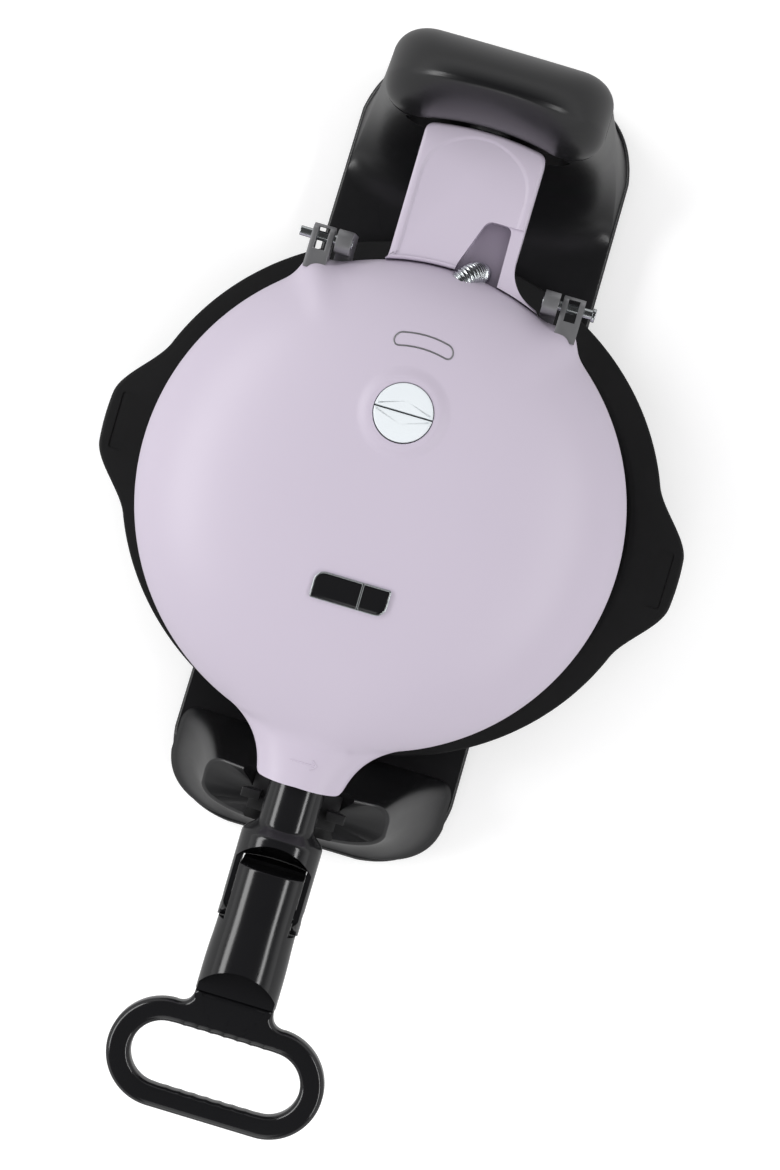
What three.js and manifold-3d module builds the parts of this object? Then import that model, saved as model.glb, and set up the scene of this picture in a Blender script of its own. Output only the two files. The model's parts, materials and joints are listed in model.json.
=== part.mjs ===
// Rotating waffle maker: a clamshell on a front-to-back axis, over a drip tray, on a stand with a rear tower.
// Millimetres, +Z up, +X to the right, +Y towards the tower. The origin is on the table, under the middle.
import * as THREE from 'three';
import { mergeVertices } from 'three/addons/utils/BufferGeometryUtils.js';
import Module from 'manifold-3d';

const wasm = await Module();
wasm.setup();

// Clearances
const gap = 0.3; // between two pieces that touch
const runningGap = 0.4; // round a bearing, in a slot and at the parting plane
const overrun = 3; // how far a cutter passes what it cuts
const weld = 1e-4; // points nearer than this are one

// Axis and clamshell
const shellRadius = 110;
const axisRoom = 28; // from the shells' rim, turned down, to the table
const axisHeight = shellRadius + axisRoom;
const shellHeight = 47;
const shellWall = 2.2;
const rimBand = 3; // upright edge of each shell at the parting plane
const domeShares = { edgePower: 2.6, crownPower: 0.53 };

// Neck of the shells, in front: half-widths at distances from the rim
const neckLength = 19.6;
const neckReach = shellRadius + neckLength;
const neckWidths = [
  [-7.2, 39], [-2.7, 32.2], [1.8, 27.9], [6.2, 24.8], [10.7, 21.9], [15.2, 20.8], [neckLength, 18.8],
].map(([past, halfWidth]) => [shellRadius + past, halfWidth]);
const neckRise = 18.5;

// In the settings below, many places along the stand and the radii of the plates and the tray count from the
// shells' rim, and some heights from the axis; the lists after the settings say which

// Hinges at the back of the shells
const hinge = {
  y: -2, rise: 10, pinRadius: 2.2, eyeRadius: 5.2, float: 3,
  knuckleInner: 44, knuckleOuter: 51, bracketInner: 52.5, bracketOuter: 62.4, pinEnd: 68,
  headRadius: 3.1, headLength: 1.6, cheek: 2.4, bridge: 2.6, footDrop: 21, footFront: -16,
  bracketFront: -17, bumpReach: 5.5, bumpSpan: 7.5,
};
const bumpShare = 0.72; // of the dome's radius, where the hinge bumps begin

// Arm behind the lower shell
const arm = {
  halfWidth: 27.5, flareLeft: 1.2, hingeRoom: 0.5, root: 15, rear: 62.2, arch: 2.1, corner: 4, top: 10.5,
  bottom: 21, edge: 1.8, wall: 2.8, panelInset: 3.2, panelDepth: 0.8, panelCorner: 13,
};
const flareShares = { length: 0.7, bend: 0.22 };
const conduitSlot = {
  leftFront: 2.3, leftRear: 10.5, rightFront: 22.8, rightRear: 22, rear: 25, corner: 3.5, ledgeDrop: 2,
};

// Flexible conduit between the arm and the lid
const conduit = { radius: 5.2, ribDepth: 0.55, bore: 3.6, pitch: 1.5, ribSides: 8, boreEvery: 5 };
const conduitRoute = [
  [13.4, 2.2, -17.9], [13.4, 2.2, -7.5], [13.2, 2.1, -2], [12, 1.4, 5],
  [9.2, -0.8, 9], [6.2, -5.2, 10], [5.4, -11.4, 10],
];

// Cooking plates, from the parting plane
const plate = {
  flangeRadius: -3.2, flangeTop: 0.6, flangeDepth: 3.6, panRadius: -12, panWaist: -13, panWaistDepth: 16,
  panFloorRadius: -16, panDepth: 19.5, wellRadius: -16, wellShoulder: -19, wellShoulderDepth: 3,
  wellFloorRadius: -22, wellDepth: 14, pegPitch: 24, pegBase: 17.5, pegTop: 14.5, pegTopDepth: 4,
  pegReach: -30, ridgeWidth: 5,
};
const heater = { ringRadius: -48, tubeRadius: 3.3, sides: 6, steps: 28, openShare: 0.1 };
const thermostat = { width: 24, depth: 16, height: 9, y: 20 };

// Lamp, badge
const lamp = {
  y: 43.5, radius: 13, boss: 18.7, bossRise: 1.5, bossDepth: 5, thickness: 2.6, split: 0.5, holderDepth: 6,
  flange: 15.5,
};
const badge = { y: -38, width: 34.4, height: 12.7, rim: 0.9, thickness: 0.9, round: 5, tight: 1.2 };

// Front trunnion, handle collar, handle
const trunnion = { radius: 13, front: 40.5 };
const collar = {
  radius: 18.9, coneEnd: 45.5, bore: 16.7, boreStart: 46.2, mouthRadius: 20.6, mouthY: 68.8, topEnd: 58,
  bottomEnd: 59, strapHalf: 7, cheekRadius: 8, cheekInner: 15.2,
};
const foldPin = { reach: 78.8, radius: 3 };
const stem = {
  tip: 60.4, tipEdge: 1, tongue: 18, flat: 14.9, swellFrom: 90, swellTo: 104, radius: 18.8, end: 122,
  scoopRadius: 20.4, scoopY: 128,
};
const loop = {
  halfWidth: 50.6, rear: 130, front: 180.4, thickness: 11, bevel: 2.4, slotHalfWidth: 39.6,
  slotHalfHeight: 14.7, slotY: 155.1, neckHalf: 18.4, flareHalf: 25,
};

// Stand
const stand = {
  halfWidth: 71, taper: 4, front: 65, rear: 103.5, bottom: 2.6, deck: 16, wall: 3, frontCornerX: 38,
  frontCornerY: 38, rearCornerX: 33, rearCornerY: 35.5,
};
const cornerShares = { front: 0.09, rear: 0.16 };
const tower = {
  foot: 21, top: 14, topHalfWidth: 50, topFront: 59, topRear: 98.5, lip: 1.2, levels: 7,
  footCornerX: 45, frontCornerX: 16, frontCornerY: 14, rearCornerX: 15, rearCornerY: 14,
};
const towerShares = { front: 1.6, side: 0.75, level: 1.5 };
const niche = { radius: 38, rear: 63.5 };
const cradle = {
  rear: 15, top: -5, topHalfWidth: 44, topFront: 44, topRear: 21, crestX: 22, notch: 27.3, levels: 5,
  cavityTop: -42, corner: 20, rearCorner: 8, lip: 1.5,
};
const cradleShares = { front: 0.7, side: 0.6, fallX: 0.507, fallY: 0.578 };
const saddle = {
  rear: 23, front: 39.5, topDrop: 17, tabInner: 15.6, tabOuter: 24.4, tabY: 32, tabWidth: 4.2, tabDrop: 9,
  tabDepth: 18,
};
const bearing = {
  shaft: 6.5, bushOuter: 9.5, bushLength: 16, flange: 12, flangeThickness: 2, boss: 13.5, bossLength: 16.5,
};
const shaft = { bore: 4.5, flange: 12, flangeThickness: 3, nutRadius: 11, nutThickness: 4.5 };

// Cap of the tower: a crest across it, with a front that follows the arm's arched end
const cap = {
  wall: 2.5, halfWidth: 50, endWidth: 49.6, height: 44.7, frontSeat: 59.8, frontStraight: 34, frontTurn: 14,
  arch: 3.8, archHalf: 31, rearSeat: 98.5, rearStraight: 32, rearTurn: 15, crest: 76.6, crestSwing: 2,
  steps: 5,
};
const capShares = { corner: 2.2, crown: 2.4, frontAngle: 0.33, rearAngle: 0.42 };
const capPlaceShares = [0.18, 0.35, 0.5, 0.63, 0.75, 0.86, 0.94, 1];
const cover = { thickness: 2.4, bottom: 3 };
const foot = { radius: 9, insetX: 24, insetY: 26 };
const coverScrew = { shank: 1.6, head: 3, headHeight: 1.4, boss: 5, length: 8.5, row: 4 };
const gland = { z: 27, radius: 6, bore: 3.4, flange: 8.5, flangeThickness: 2, depth: 7 };

// Drip tray
const tray = {
  halfWidth: 20.7, halfLength: 13.5, earReach: 34, earInner: 12, earOuter: 43, rimWidth: 13, rimTop: 34,
  rimThickness: 2.5, wall: 2.2, slant: 3.3, floorInset: 22, markWidth: 8, markLength: 28, markDepth: 0.6,
  markX: 24.5,
};

// Places that count from the rim, and heights that count from the axis
const fromRim = [
  [hinge, ['y', 'footFront', 'bracketFront']], [arm, ['rear']], [conduitSlot, ['rear']],
  [heater, ['ringRadius']], [plate, ['flangeRadius', 'panRadius', 'panWaist', 'panFloorRadius', 'pegReach']],
  [plate, ['wellRadius', 'wellShoulder', 'wellFloorRadius']], [trunnion, ['front']],
  [collar, ['coneEnd', 'boreStart', 'mouthY', 'topEnd', 'bottomEnd']], [foldPin, ['reach']],
  [stem, ['tip', 'swellFrom', 'swellTo', 'end', 'scoopY']], [loop, ['rear', 'front', 'slotY']],
  [stand, ['front', 'rear']], [tower, ['foot', 'topFront', 'topRear']], [niche, ['rear']],
  [cradle, ['rear', 'topFront', 'topRear']], [saddle, ['rear', 'front', 'tabY']], [coverScrew, ['row']],
  [cap, ['frontSeat', 'rearSeat', 'crest']], [tray, ['halfWidth', 'halfLength', 'earReach', 'markX']],
];
const fromAxis = [[tower, ['top']], [cradle, ['top', 'cavityTop']]];
for (const [list, start] of [[fromRim, shellRadius], [fromAxis, axisHeight]]) {
  for (const [piece, names] of list) names.forEach((name) => { piece[name] += start; });
}

// Roundness
const roundSides = 32;
const smallSides = 12;
const cornerSteps = 4;

// Finishes
const finish = {
  lavender: { color: 0xcec6d5, roughness: 0.45, metalness: 0 },
  gloss: { color: 0x141416, roughness: 0.12, metalness: 0 },
  matte: { color: 0x202021, roughness: 0.7, metalness: 0 },
  rubber: { color: 0x1a1a1a, roughness: 0.9, metalness: 0 },
  zinc: { color: 0x969698, roughness: 0.45, metalness: 0.9 },
  steel: { color: 0xb8bcc0, roughness: 0.3, metalness: 1 },
  coated: { color: 0x2a2a2c, roughness: 0.5, metalness: 0.2 },
  lens: { color: 0xdae1e3, roughness: 0.15, metalness: 0 },
};

// From a geometry to a solid and back
function solidOf(geometry) {
  const plain = geometry.clone();
  plain.deleteAttribute('normal');
  plain.deleteAttribute('uv');
  const merged = mergeVertices(plain, weld);
  const vertProperties = new Float32Array(merged.attributes.position.array);
  const triVerts = new Uint32Array(merged.index.array);
  return new wasm.Manifold(new wasm.Mesh({ numProp: 3, vertProperties, triVerts }));
}

function geometryOf(solid) {
  const mesh = solid.getMesh();
  const geometry = new THREE.BufferGeometry();
  geometry.setAttribute('position', new THREE.BufferAttribute(new Float32Array(mesh.vertProperties), 3));
  geometry.setIndex(new THREE.BufferAttribute(new Uint32Array(mesh.triVerts), 1));
  geometry.computeVertexNormals();
  return geometry;
}

// A closed body through rings of equally many points, each end drawn to a pole; faces are turned outwards
function ringBody(rings, startPole, endPole) {
  const count = rings[0].length;
  const points = [startPole, ...rings.flat(), endPole];
  const faces = [];
  const at = (ring, k) => 1 + ring * count + (k % count);
  const last = points.length - 1;
  for (let k = 0; k < count; k += 1) {
    faces.push(0, at(0, k + 1), at(0, k));
    faces.push(last, at(rings.length - 1, k), at(rings.length - 1, k + 1));
    for (let ring = 0; ring + 1 < rings.length; ring += 1) {
      faces.push(at(ring, k), at(ring, k + 1), at(ring + 1, k + 1));
      faces.push(at(ring, k), at(ring + 1, k + 1), at(ring + 1, k));
    }
  }
  return outward(points, faces);
}

// A closed tube-like body whose last ring joins the first
function ringLoop(rings) {
  const count = rings[0].length;
  const points = rings.flat();
  const faces = [];
  const at = (ring, k) => (ring % rings.length) * count + (k % count);
  for (let ring = 0; ring < rings.length; ring += 1) {
    for (let k = 0; k < count; k += 1) {
      faces.push(at(ring, k), at(ring, k + 1), at(ring + 1, k + 1));
      faces.push(at(ring, k), at(ring + 1, k + 1), at(ring + 1, k));
    }
  }
  return outward(points, faces);
}

function outward(points, faces) {
  let volume = 0;
  const cross = new THREE.Vector3();
  for (let k = 0; k < faces.length; k += 3) {
    volume += cross.crossVectors(points[faces[k]], points[faces[k + 1]]).dot(points[faces[k + 2]]);
  }
  const turned = volume < 0 ? faces.slice().reverse() : faces;
  const geometry = new THREE.BufferGeometry();
  const places = points.flatMap((p) => [p.x, p.y, p.z]);
  geometry.setAttribute('position', new THREE.Float32BufferAttribute(places, 3));
  geometry.setIndex(turned);
  geometry.computeVertexNormals();
  return geometry;
}

// Prisms along each axis from a shape, and round bars
function prismZ(shape, from, to, bevel = 0) {
  return new THREE.ExtrudeGeometry(shape, {
    depth: to - from - 2 * bevel, steps: 1, curveSegments: cornerSteps, bevelEnabled: bevel > 0,
    bevelThickness: bevel, bevelSize: bevel, bevelOffset: -bevel, bevelSegments: 2,
  }).translate(0, 0, from + bevel);
}

function prismX(shape, from, to) { // the shape is drawn in Y and Z
  const turn = new THREE.Matrix4().makeBasis(
    new THREE.Vector3(0, 1, 0), new THREE.Vector3(0, 0, 1), new THREE.Vector3(1, 0, 0));
  return prismZ(shape, 0, to - from).applyMatrix4(turn).translate(from, 0, 0);
}

function box(from, to) {
  const size = new THREE.Vector3().subVectors(to, from);
  const middle = new THREE.Vector3().addVectors(from, to).multiplyScalar(0.5);
  return solidOf(new THREE.BoxGeometry(size.x, size.y, size.z).translate(middle.x, middle.y, middle.z));
}

function barZ(radius, from, to, sides = roundSides) {
  return solidOf(new THREE.CylinderGeometry(radius, radius, to - from, sides).rotateX(Math.PI / 2)
    .translate(0, 0, (from + to) / 2));
}

function barY(radius, from, to, sides = roundSides) {
  return solidOf(new THREE.CylinderGeometry(radius, radius, to - from, sides)
    .translate(0, (from + to) / 2, 0));
}

function barX(radius, from, to, sides = smallSides) {
  return solidOf(new THREE.CylinderGeometry(radius, radius, Math.abs(to - from), sides).rotateZ(Math.PI / 2)
    .translate((from + to) / 2, 0, 0));
}

// Turned bodies: about Y as drawn, or stood up about Z; a profile may run either way round
function latheOf(profile, sides) {
  const points = profile.map(([radius, along]) => new THREE.Vector2(radius, along));
  const ordered = THREE.ShapeUtils.area(points) < 0 ? points.reverse() : points;
  return new THREE.LatheGeometry(ordered, sides);
}

function turnedY(profile, sides = roundSides) {
  return solidOf(latheOf(profile, sides));
}

function turnedZ(profile, sides = roundSides) {
  return solidOf(latheOf(profile, sides).rotateX(Math.PI / 2));
}

function roundedShape(centreX, centreY, halfWidth, halfHeight, radius) {
  const shape = new THREE.Shape();
  const right = centreX + halfWidth - radius;
  const left = centreX - halfWidth + radius;
  const top = centreY + halfHeight - radius;
  const low = centreY - halfHeight + radius;
  shape.absarc(right, top, radius, 0, Math.PI / 2);
  shape.absarc(left, top, radius, Math.PI / 2, Math.PI);
  shape.absarc(left, low, radius, Math.PI, 1.5 * Math.PI);
  shape.absarc(right, low, radius, 1.5 * Math.PI, 2 * Math.PI);
  return shape;
}

function between(from, to, share) {
  return from + (to - from) * share;
}

function smoothStep(low, high, value) {
  const share = Math.min(1, Math.max(0, (value - low) / (high - low)));
  return share * share * (3 - 2 * share);
}

// Groups: everything stands on the table; the clamshell's pieces hang from the axis
const plan = new THREE.Group();
const turning = new THREE.Group();
turning.position.z = axisHeight;
plan.add(turning);

function add(parent, name, body, finishName) {
  const geometry = body.isBufferGeometry ? body : geometryOf(body);
  const mesh = new THREE.Mesh(geometry, new THREE.MeshStandardMaterial(finish[finishName]));
  mesh.name = name;
  parent.add(mesh);
  return mesh;
}

// Shells: the outline in polar form, with the neck in front and the two hinge bumps behind
function neckHalfWidth(reach) {
  for (let k = 0; k + 1 < neckWidths.length; k += 1) {
    const [nearReach, nearWidth] = neckWidths[k];
    const [farReach, farWidth] = neckWidths[k + 1];
    if (reach <= farReach) return between(nearWidth, farWidth, (reach - nearReach) / (farReach - nearReach));
  }
  return neckWidths.at(-1)[1];
}

const neckStart = Math.atan2(neckWidths[0][1], neckWidths[0][0]);
const neckEnd = Math.atan2(neckWidths.at(-1)[1], neckReach);
const bumpX = (hinge.bracketInner + hinge.bracketOuter) / 2;
const bumpAngle = Math.asin(bumpX / shellRadius);

function outlineReach(angle, grow) { // the angle is measured from the front, from 0 to pi on both sides
  const side = Math.abs(angle);
  if (side < neckEnd) return (neckReach + grow) / Math.cos(side);
  if (side < neckStart) {
    for (let k = 0; k + 1 < neckWidths.length; k += 1) {
      const [nearReach, nearWidth] = neckWidths[k];
      const [farReach, farWidth] = neckWidths[k + 1];
      const nearAngle = Math.atan2(nearWidth, nearReach);
      const farAngle = Math.atan2(farWidth, farReach);
      if (side <= nearAngle && side >= farAngle) {
        const share = (nearAngle - side) / (nearAngle - farAngle);
        return grow + between(Math.hypot(nearReach, nearWidth), Math.hypot(farReach, farWidth), share);
      }
    }
  }
  return shellRadius + grow;
}

function bumpAt(angle, share) { // the hinge bumps swell the rim and fade out up the dome
  const fromBump = (Math.PI - Math.abs(angle) - bumpAngle) * shellRadius;
  return hinge.bumpReach * Math.exp(-((fromBump / hinge.bumpSpan) ** 2)) * smoothStep(bumpShare, 1, share);
}

function domeRise(share) {
  return (1 - share ** domeShares.edgePower) ** domeShares.crownPower;
}

function shellRise(angle, share, grow) {
  const reach = share * outlineReach(angle, grow);
  const side = Math.abs(angle);
  const height = shellHeight + grow;
  if (side > neckStart) return rimBand + (height - rimBand) * domeRise(share);
  const dome = rimBand + (height - rimBand) * domeRise(Math.min(1, reach / (shellRadius + grow)));
  const forward = reach * Math.cos(side);
  const halfWidth = neckHalfWidth(Math.max(forward - grow, neckWidths[0][0])) + grow;
  const across = Math.min(1, reach * Math.sin(side) / halfWidth);
  const begun = smoothStep(neckWidths[0][0] - shellHeight, neckWidths[0][0], forward);
  const neck = rimBand + (neckRise + grow - rimBand) * Math.sqrt(1 - across ** 2) * begun;
  return (dome ** 4 + neck ** 4 - rimBand ** 4) ** 0.25;
}

const shellAngles = [];
for (let degrees = -180; degrees < 180;) {
  shellAngles.push(degrees * Math.PI / 180);
  const side = Math.abs(degrees);
  if (side < 24) degrees += 4;
  else if (side > 138 && side < 160) degrees += 4;
  else degrees += 8;
}
const outerShares = [0.22, 0.44, 0.62, 0.77, 0.88, 0.95, 0.985, 1];
const innerShares = [0.34, 0.62, 0.82, 0.94, 1];

// One half of the clamshell as a full body, grown or shrunk, above or below the parting plane
function shellBody(side, grow, bumped, past = 0) {
  const start = new THREE.Vector3(0, 0, side * (shellHeight + grow));
  const shares = grow < 0 ? innerShares : outerShares;
  const rings = shares.map((share) => shellAngles.map((angle) => {
    const reach = share * outlineReach(angle, grow) + (bumped ? bumpAt(angle, share) : 0);
    const z = side * shellRise(angle, share, grow);
    return new THREE.Vector3(reach * Math.sin(angle), -reach * Math.cos(angle), z);
  }));
  const edge = side * (runningGap / 2 - past);
  rings.push(rings.at(-1).map((p) => new THREE.Vector3(p.x, p.y, edge)));
  return solidOf(ringBody(rings, start, new THREE.Vector3(0, 0, edge)));
}

function topOfShell(x, y) {
  const angle = Math.atan2(x, -y);
  return shellRise(angle, Math.hypot(x, y) / outlineReach(angle, 0), 0);
}

function slopeAt(y) {
  const step = shellWall;
  return Math.atan2(topOfShell(0, y + step) - topOfShell(0, y - step), 2 * step);
}

// Stand: housing with tower and cradle
function standSection(halfWidth, front, rear, corners, z) {
  const points = [];
  const corner = (fromX, fromY, controlX, controlY, toX, toY) => {
    const curve = new THREE.QuadraticBezierCurve(
      new THREE.Vector2(fromX, fromY), new THREE.Vector2(controlX, controlY), new THREE.Vector2(toX, toY));
    curve.getPoints(cornerSteps).forEach((p) => points.push([p.x, p.y]));
  };
  const { frontX, frontY, rearX, rearY, frontShare, rearShare, taper = 0 } = corners;
  const back = halfWidth - taper;
  corner(halfWidth - frontX, front, halfWidth - frontShare * frontX, front + frontShare * frontY,
    halfWidth, front + frontY);
  corner(back, rear - rearY, back - rearShare * rearX, rear - rearShare * rearY, back - rearX, rear);
  const mirrored = points.map(([x, y]) => [-x, y]).reverse();
  return [...points, ...mirrored].map(([x, y]) => new THREE.Vector3(x, y, z));
}

const deckCorners = {
  frontX: stand.frontCornerX, frontY: stand.frontCornerY, rearX: stand.rearCornerX, rearY: stand.rearCornerY,
  frontShare: cornerShares.front, rearShare: cornerShares.rear, taper: stand.taper,
};

function sectionMiddle(ring) {
  const middle = new THREE.Vector3();
  ring.forEach((p) => middle.add(p));
  return middle.divideScalar(ring.length);
}

function loft(rings) {
  return solidOf(ringBody(rings, sectionMiddle(rings[0]), sectionMiddle(rings.at(-1))));
}

function deckBody(inset, bottom, top) {
  const halfWidth = stand.halfWidth - inset;
  const ring = (z) => standSection(halfWidth, inset - stand.front, stand.rear - inset, deckCorners, z);
  return loft([ring(bottom), ring(top)]);
}

function towerBody(inset, bottom, top) { // the front sweeps up from a wide foot
  const rings = [];
  const wide = stand.halfWidth - stand.taper - tower.lip;
  for (let k = 0; k <= tower.levels; k += 1) {
    const z = between(bottom, top, (k / tower.levels) ** towerShares.level);
    const level = Math.max(0, Math.min(1, (z - stand.deck) / (tower.top - stand.deck)));
    const halfWidth = between(wide, tower.topHalfWidth, level ** towerShares.side);
    const sweep = (1 - Math.sqrt(1 - (1 - level) ** 2)) ** towerShares.front; // flat where it leaves the deck
    const front = between(tower.topFront, tower.foot, sweep);
    const rear = between(stand.rear - tower.lip, tower.topRear, level);
    rings.push(standSection(halfWidth - inset, front + inset, rear - inset, {
      frontX: between(tower.footCornerX, tower.frontCornerX, level), frontY: tower.frontCornerY,
      frontShare: cornerShares.front, rearShare: cornerShares.rear,
      rearX: between(stand.rearCornerX, tower.rearCornerX, level),
      rearY: between(stand.rearCornerY, tower.rearCornerY, level),
    }, z));
  }
  return loft(rings);
}

// The cradle's top falls forwards and outwards from the notch
function cradleFall(x, y) {
  const outwards = cradleShares.fallX * (Math.abs(x) - cradle.crestX);
  return Math.max(0, outwards + cradleShares.fallY * (-cradle.topRear - y));
}

function cradleBody(inset, bottom, top) {
  const rings = [];
  const wide = stand.halfWidth - cradle.lip;
  const deep = (stand.front - cradle.rear) / 2;
  for (let k = 0; k <= cradle.levels; k += 1) {
    const z = between(bottom, top, k / cradle.levels);
    const level = Math.max(0, Math.min(1, (z - stand.deck) / (cradle.top - stand.deck)));
    const halfWidth = between(wide, cradle.topHalfWidth, level ** cradleShares.side);
    const front = -between(stand.front - cradle.lip, cradle.topFront, level ** cradleShares.front);
    const rear = -between(cradle.rear, cradle.topRear, level);
    const ring = standSection(halfWidth - inset, front + inset, rear - inset, {
      frontX: between(stand.frontCornerX, cradle.corner, level), rearX: cradle.rearCorner,
      frontY: between(deep, cradle.rearCorner, level), rearY: cradle.rearCorner,
      frontShare: cornerShares.front, rearShare: cornerShares.front,
    }, z);
    rings.push(ring.map((p) => new THREE.Vector3(p.x, p.y, z - level * cradleFall(p.x, p.y))));
  }
  return loft(rings);
}

const footPlaces = [
  ['front_left', -1, -stand.front + foot.insetY], ['front_right', 1, -stand.front + foot.insetY],
  ['rear_left', -1, stand.rear - foot.insetY], ['rear_right', 1, stand.rear - foot.insetY],
];
const footX = stand.halfWidth - foot.insetX;
const screwPlaces = footPlaces.map(([, side, y]) => [side * footX, Math.sign(y) * coverScrew.row]);
const roof = stand.deck - stand.wall;
const coverTop = cover.bottom + cover.thickness;

function makeHousing() {
  const nicheOuter = barY(niche.radius, 0, niche.rear).translate([0, 0, axisHeight]);
  const nicheWall = barY(niche.radius + stand.wall, 0, niche.rear + stand.wall).translate([0, 0, axisHeight]);
  const notch = barY(cradle.notch, -stand.front, -cradle.rear + overrun).translate([0, 0, axisHeight]);
  const outer = deckBody(0, stand.bottom, stand.deck).add(towerBody(0, stand.deck - stand.wall, tower.top))
    .add(cradleBody(0, stand.deck - stand.wall, cradle.top)).subtract(nicheOuter).subtract(notch);
  const cavity = deckBody(stand.wall, stand.bottom - overrun, roof)
    .add(towerBody(stand.wall, roof - overrun, tower.top + overrun).subtract(nicheWall))
    .add(cradleBody(stand.wall, roof - overrun, cradle.cavityTop));
  let housing = outer.subtract(cavity);
  const boss = barY(bearing.boss, niche.rear + stand.wall / 2, niche.rear + bearing.bossLength);
  const bore = barY(bearing.bushOuter + gap, niche.rear - overrun, stand.rear - stand.wall - overrun);
  housing = housing.add(boss.translate([0, 0, axisHeight])).subtract(bore.translate([0, 0, axisHeight]));
  for (const [x, y] of screwPlaces) {
    const post = barZ(coverScrew.boss, coverTop + gap, roof + stand.wall / 2, smallSides)
      .subtract(barZ(coverScrew.shank + gap, cover.bottom, roof + gap, smallSides));
    housing = housing.add(post.translate([x, y, 0]));
  }
  const leadFront = stand.rear - gland.depth - overrun;
  const leadHole = barY(gland.radius + gap, leadFront, stand.rear + overrun, smallSides);
  return housing.subtract(leadHole.translate([0, 0, gland.z]));
}

add(plan, 'base_housing', makeHousing(), 'gloss');

function turnedShare(x, straight) { // how far a rounded corner has turned: 0 on the straight, 1 at the side
  const share = Math.max(0, (Math.abs(x) - straight) / (cap.halfWidth - straight));
  return 1 - (1 - share ** capShares.corner) ** (1 / capShares.corner);
}

// One slice of the cap from front to back: an arc up to the crest and a longer one down behind it
function capSlice(x, inset, drop) {
  const arch = cap.arch * Math.max(0, 1 - (x / cap.archHalf) ** 2);
  const front = cap.frontSeat + arch + cap.frontTurn * turnedShare(x, cap.frontStraight) + inset;
  const rear = cap.rearSeat - cap.rearTurn * turnedShare(x, cap.rearStraight) - inset;
  const crest = cap.crest - cap.crestSwing * (x / cap.halfWidth) ** 2;
  const rise = cap.height * Math.sqrt(1 - Math.abs(x / cap.halfWidth) ** capShares.crown) - inset;
  const seat = tower.top + gap;
  const arc = (start, angle) => {
    const points = [];
    for (let k = 0; k <= cap.steps; k += 1) {
      const turn = angle * k / cap.steps;
      const y = between(start, crest, (1 - Math.cos(turn)) / (1 - Math.cos(angle)));
      points.push(new THREE.Vector3(x, y, seat + rise * Math.sin(turn) / Math.sin(angle)));
    }
    return points;
  };
  const up = arc(front, capShares.frontAngle * Math.PI);
  const down = arc(rear, capShares.rearAngle * Math.PI).reverse().slice(1);
  const low = [rear, front].map((y) => new THREE.Vector3(x, y, seat - drop));
  return drop > 0 ? [...up, ...down, ...low] : [...up, ...down];
}

function capBody(inset, drop) {
  const reach = cap.endWidth - inset;
  const places = [...capPlaceShares.map((share) => -share).reverse(), 0, ...capPlaceShares];
  return loft(places.map((share) => capSlice(share * reach, inset, drop)));
}

add(plan, 'tower_cap', capBody(0, 0).subtract(capBody(cap.wall, overrun)), 'gloss');

function makeCover() {
  const inset = stand.wall + gap;
  let plateBody = deckBody(inset, cover.bottom, coverTop);
  const hole = barZ(coverScrew.shank + gap, 0, roof, smallSides)
    .add(barZ(coverScrew.head + gap, 0, cover.bottom + coverScrew.headHeight, smallSides));
  for (const [x, y] of screwPlaces) plateBody = plateBody.subtract(hole.translate([x, y, 0]));
  return plateBody;
}

add(plan, 'bottom_cover', makeCover(), 'matte');

footPlaces.forEach(([place, side, y]) => {
  const pad = turnedZ([[0, 0], [foot.radius - gap, 0], [foot.radius, gap], [foot.radius, cover.bottom - gap],
    [0, cover.bottom - gap]], smallSides);
  add(plan, `foot_${place}`, pad, 'rubber').position.set(side * footX, y, 0);
});

screwPlaces.forEach(([x, y], k) => {
  const headTop = cover.bottom + coverScrew.headHeight - gap;
  const tip = cover.bottom + coverScrew.length;
  const screw = turnedZ([[0, cover.bottom], [coverScrew.head, cover.bottom], [coverScrew.head, headTop],
    [coverScrew.shank, headTop], [coverScrew.shank, tip], [0, tip]], smallSides);
  add(plan, `cover_screw_${k + 1}`, screw, 'steel').position.set(x, y, 0);
});

// Black saddle in the cradle's notch, with its two tabs
function makeSaddle() {
  const outer = cradle.notch - gap;
  const inner = trunnion.radius + gap;
  const blank = barY(outer, -saddle.front, -saddle.rear)
    .subtract(barY(inner, -saddle.front - overrun, -saddle.rear + overrun));
  const above = box(new THREE.Vector3(-outer - overrun, -saddle.front - overrun, -saddle.topDrop),
    new THREE.Vector3(outer + overrun, -saddle.rear + overrun, outer + overrun));
  let body = blank.subtract(above);
  for (const side of [-1, 1]) {
    const edges = [side * saddle.tabInner, side * saddle.tabOuter].sort((a, b) => a - b);
    body = body.add(box(new THREE.Vector3(edges[0], -saddle.tabY - saddle.tabWidth / 2, -saddle.tabDepth),
      new THREE.Vector3(edges[1], -saddle.tabY + saddle.tabWidth / 2, -saddle.tabDrop)));
  }
  return body.intersect(barY(outer, -saddle.front, -saddle.rear));
}

add(turning, 'front_saddle', makeSaddle(), 'matte');

// Bearing in the tower, which the arm's end runs against, and the hollow shaft that turns in it
const bushInner = bearing.shaft + gap;
const bushEnd = niche.rear + gap + bearing.bushLength;
const bushFront = arm.rear + gap;
const bushFlange = bushEnd + gap + bearing.flangeThickness;
add(turning, 'rear_bearing', turnedY([[bushInner, bushFront], [bearing.bushOuter, bushFront],
  [bearing.bushOuter, bushEnd + gap], [bearing.flange, bushEnd + gap], [bearing.flange, bushFlange],
  [bushInner, bushFlange], [bushInner, bushFront]]), 'matte');

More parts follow.
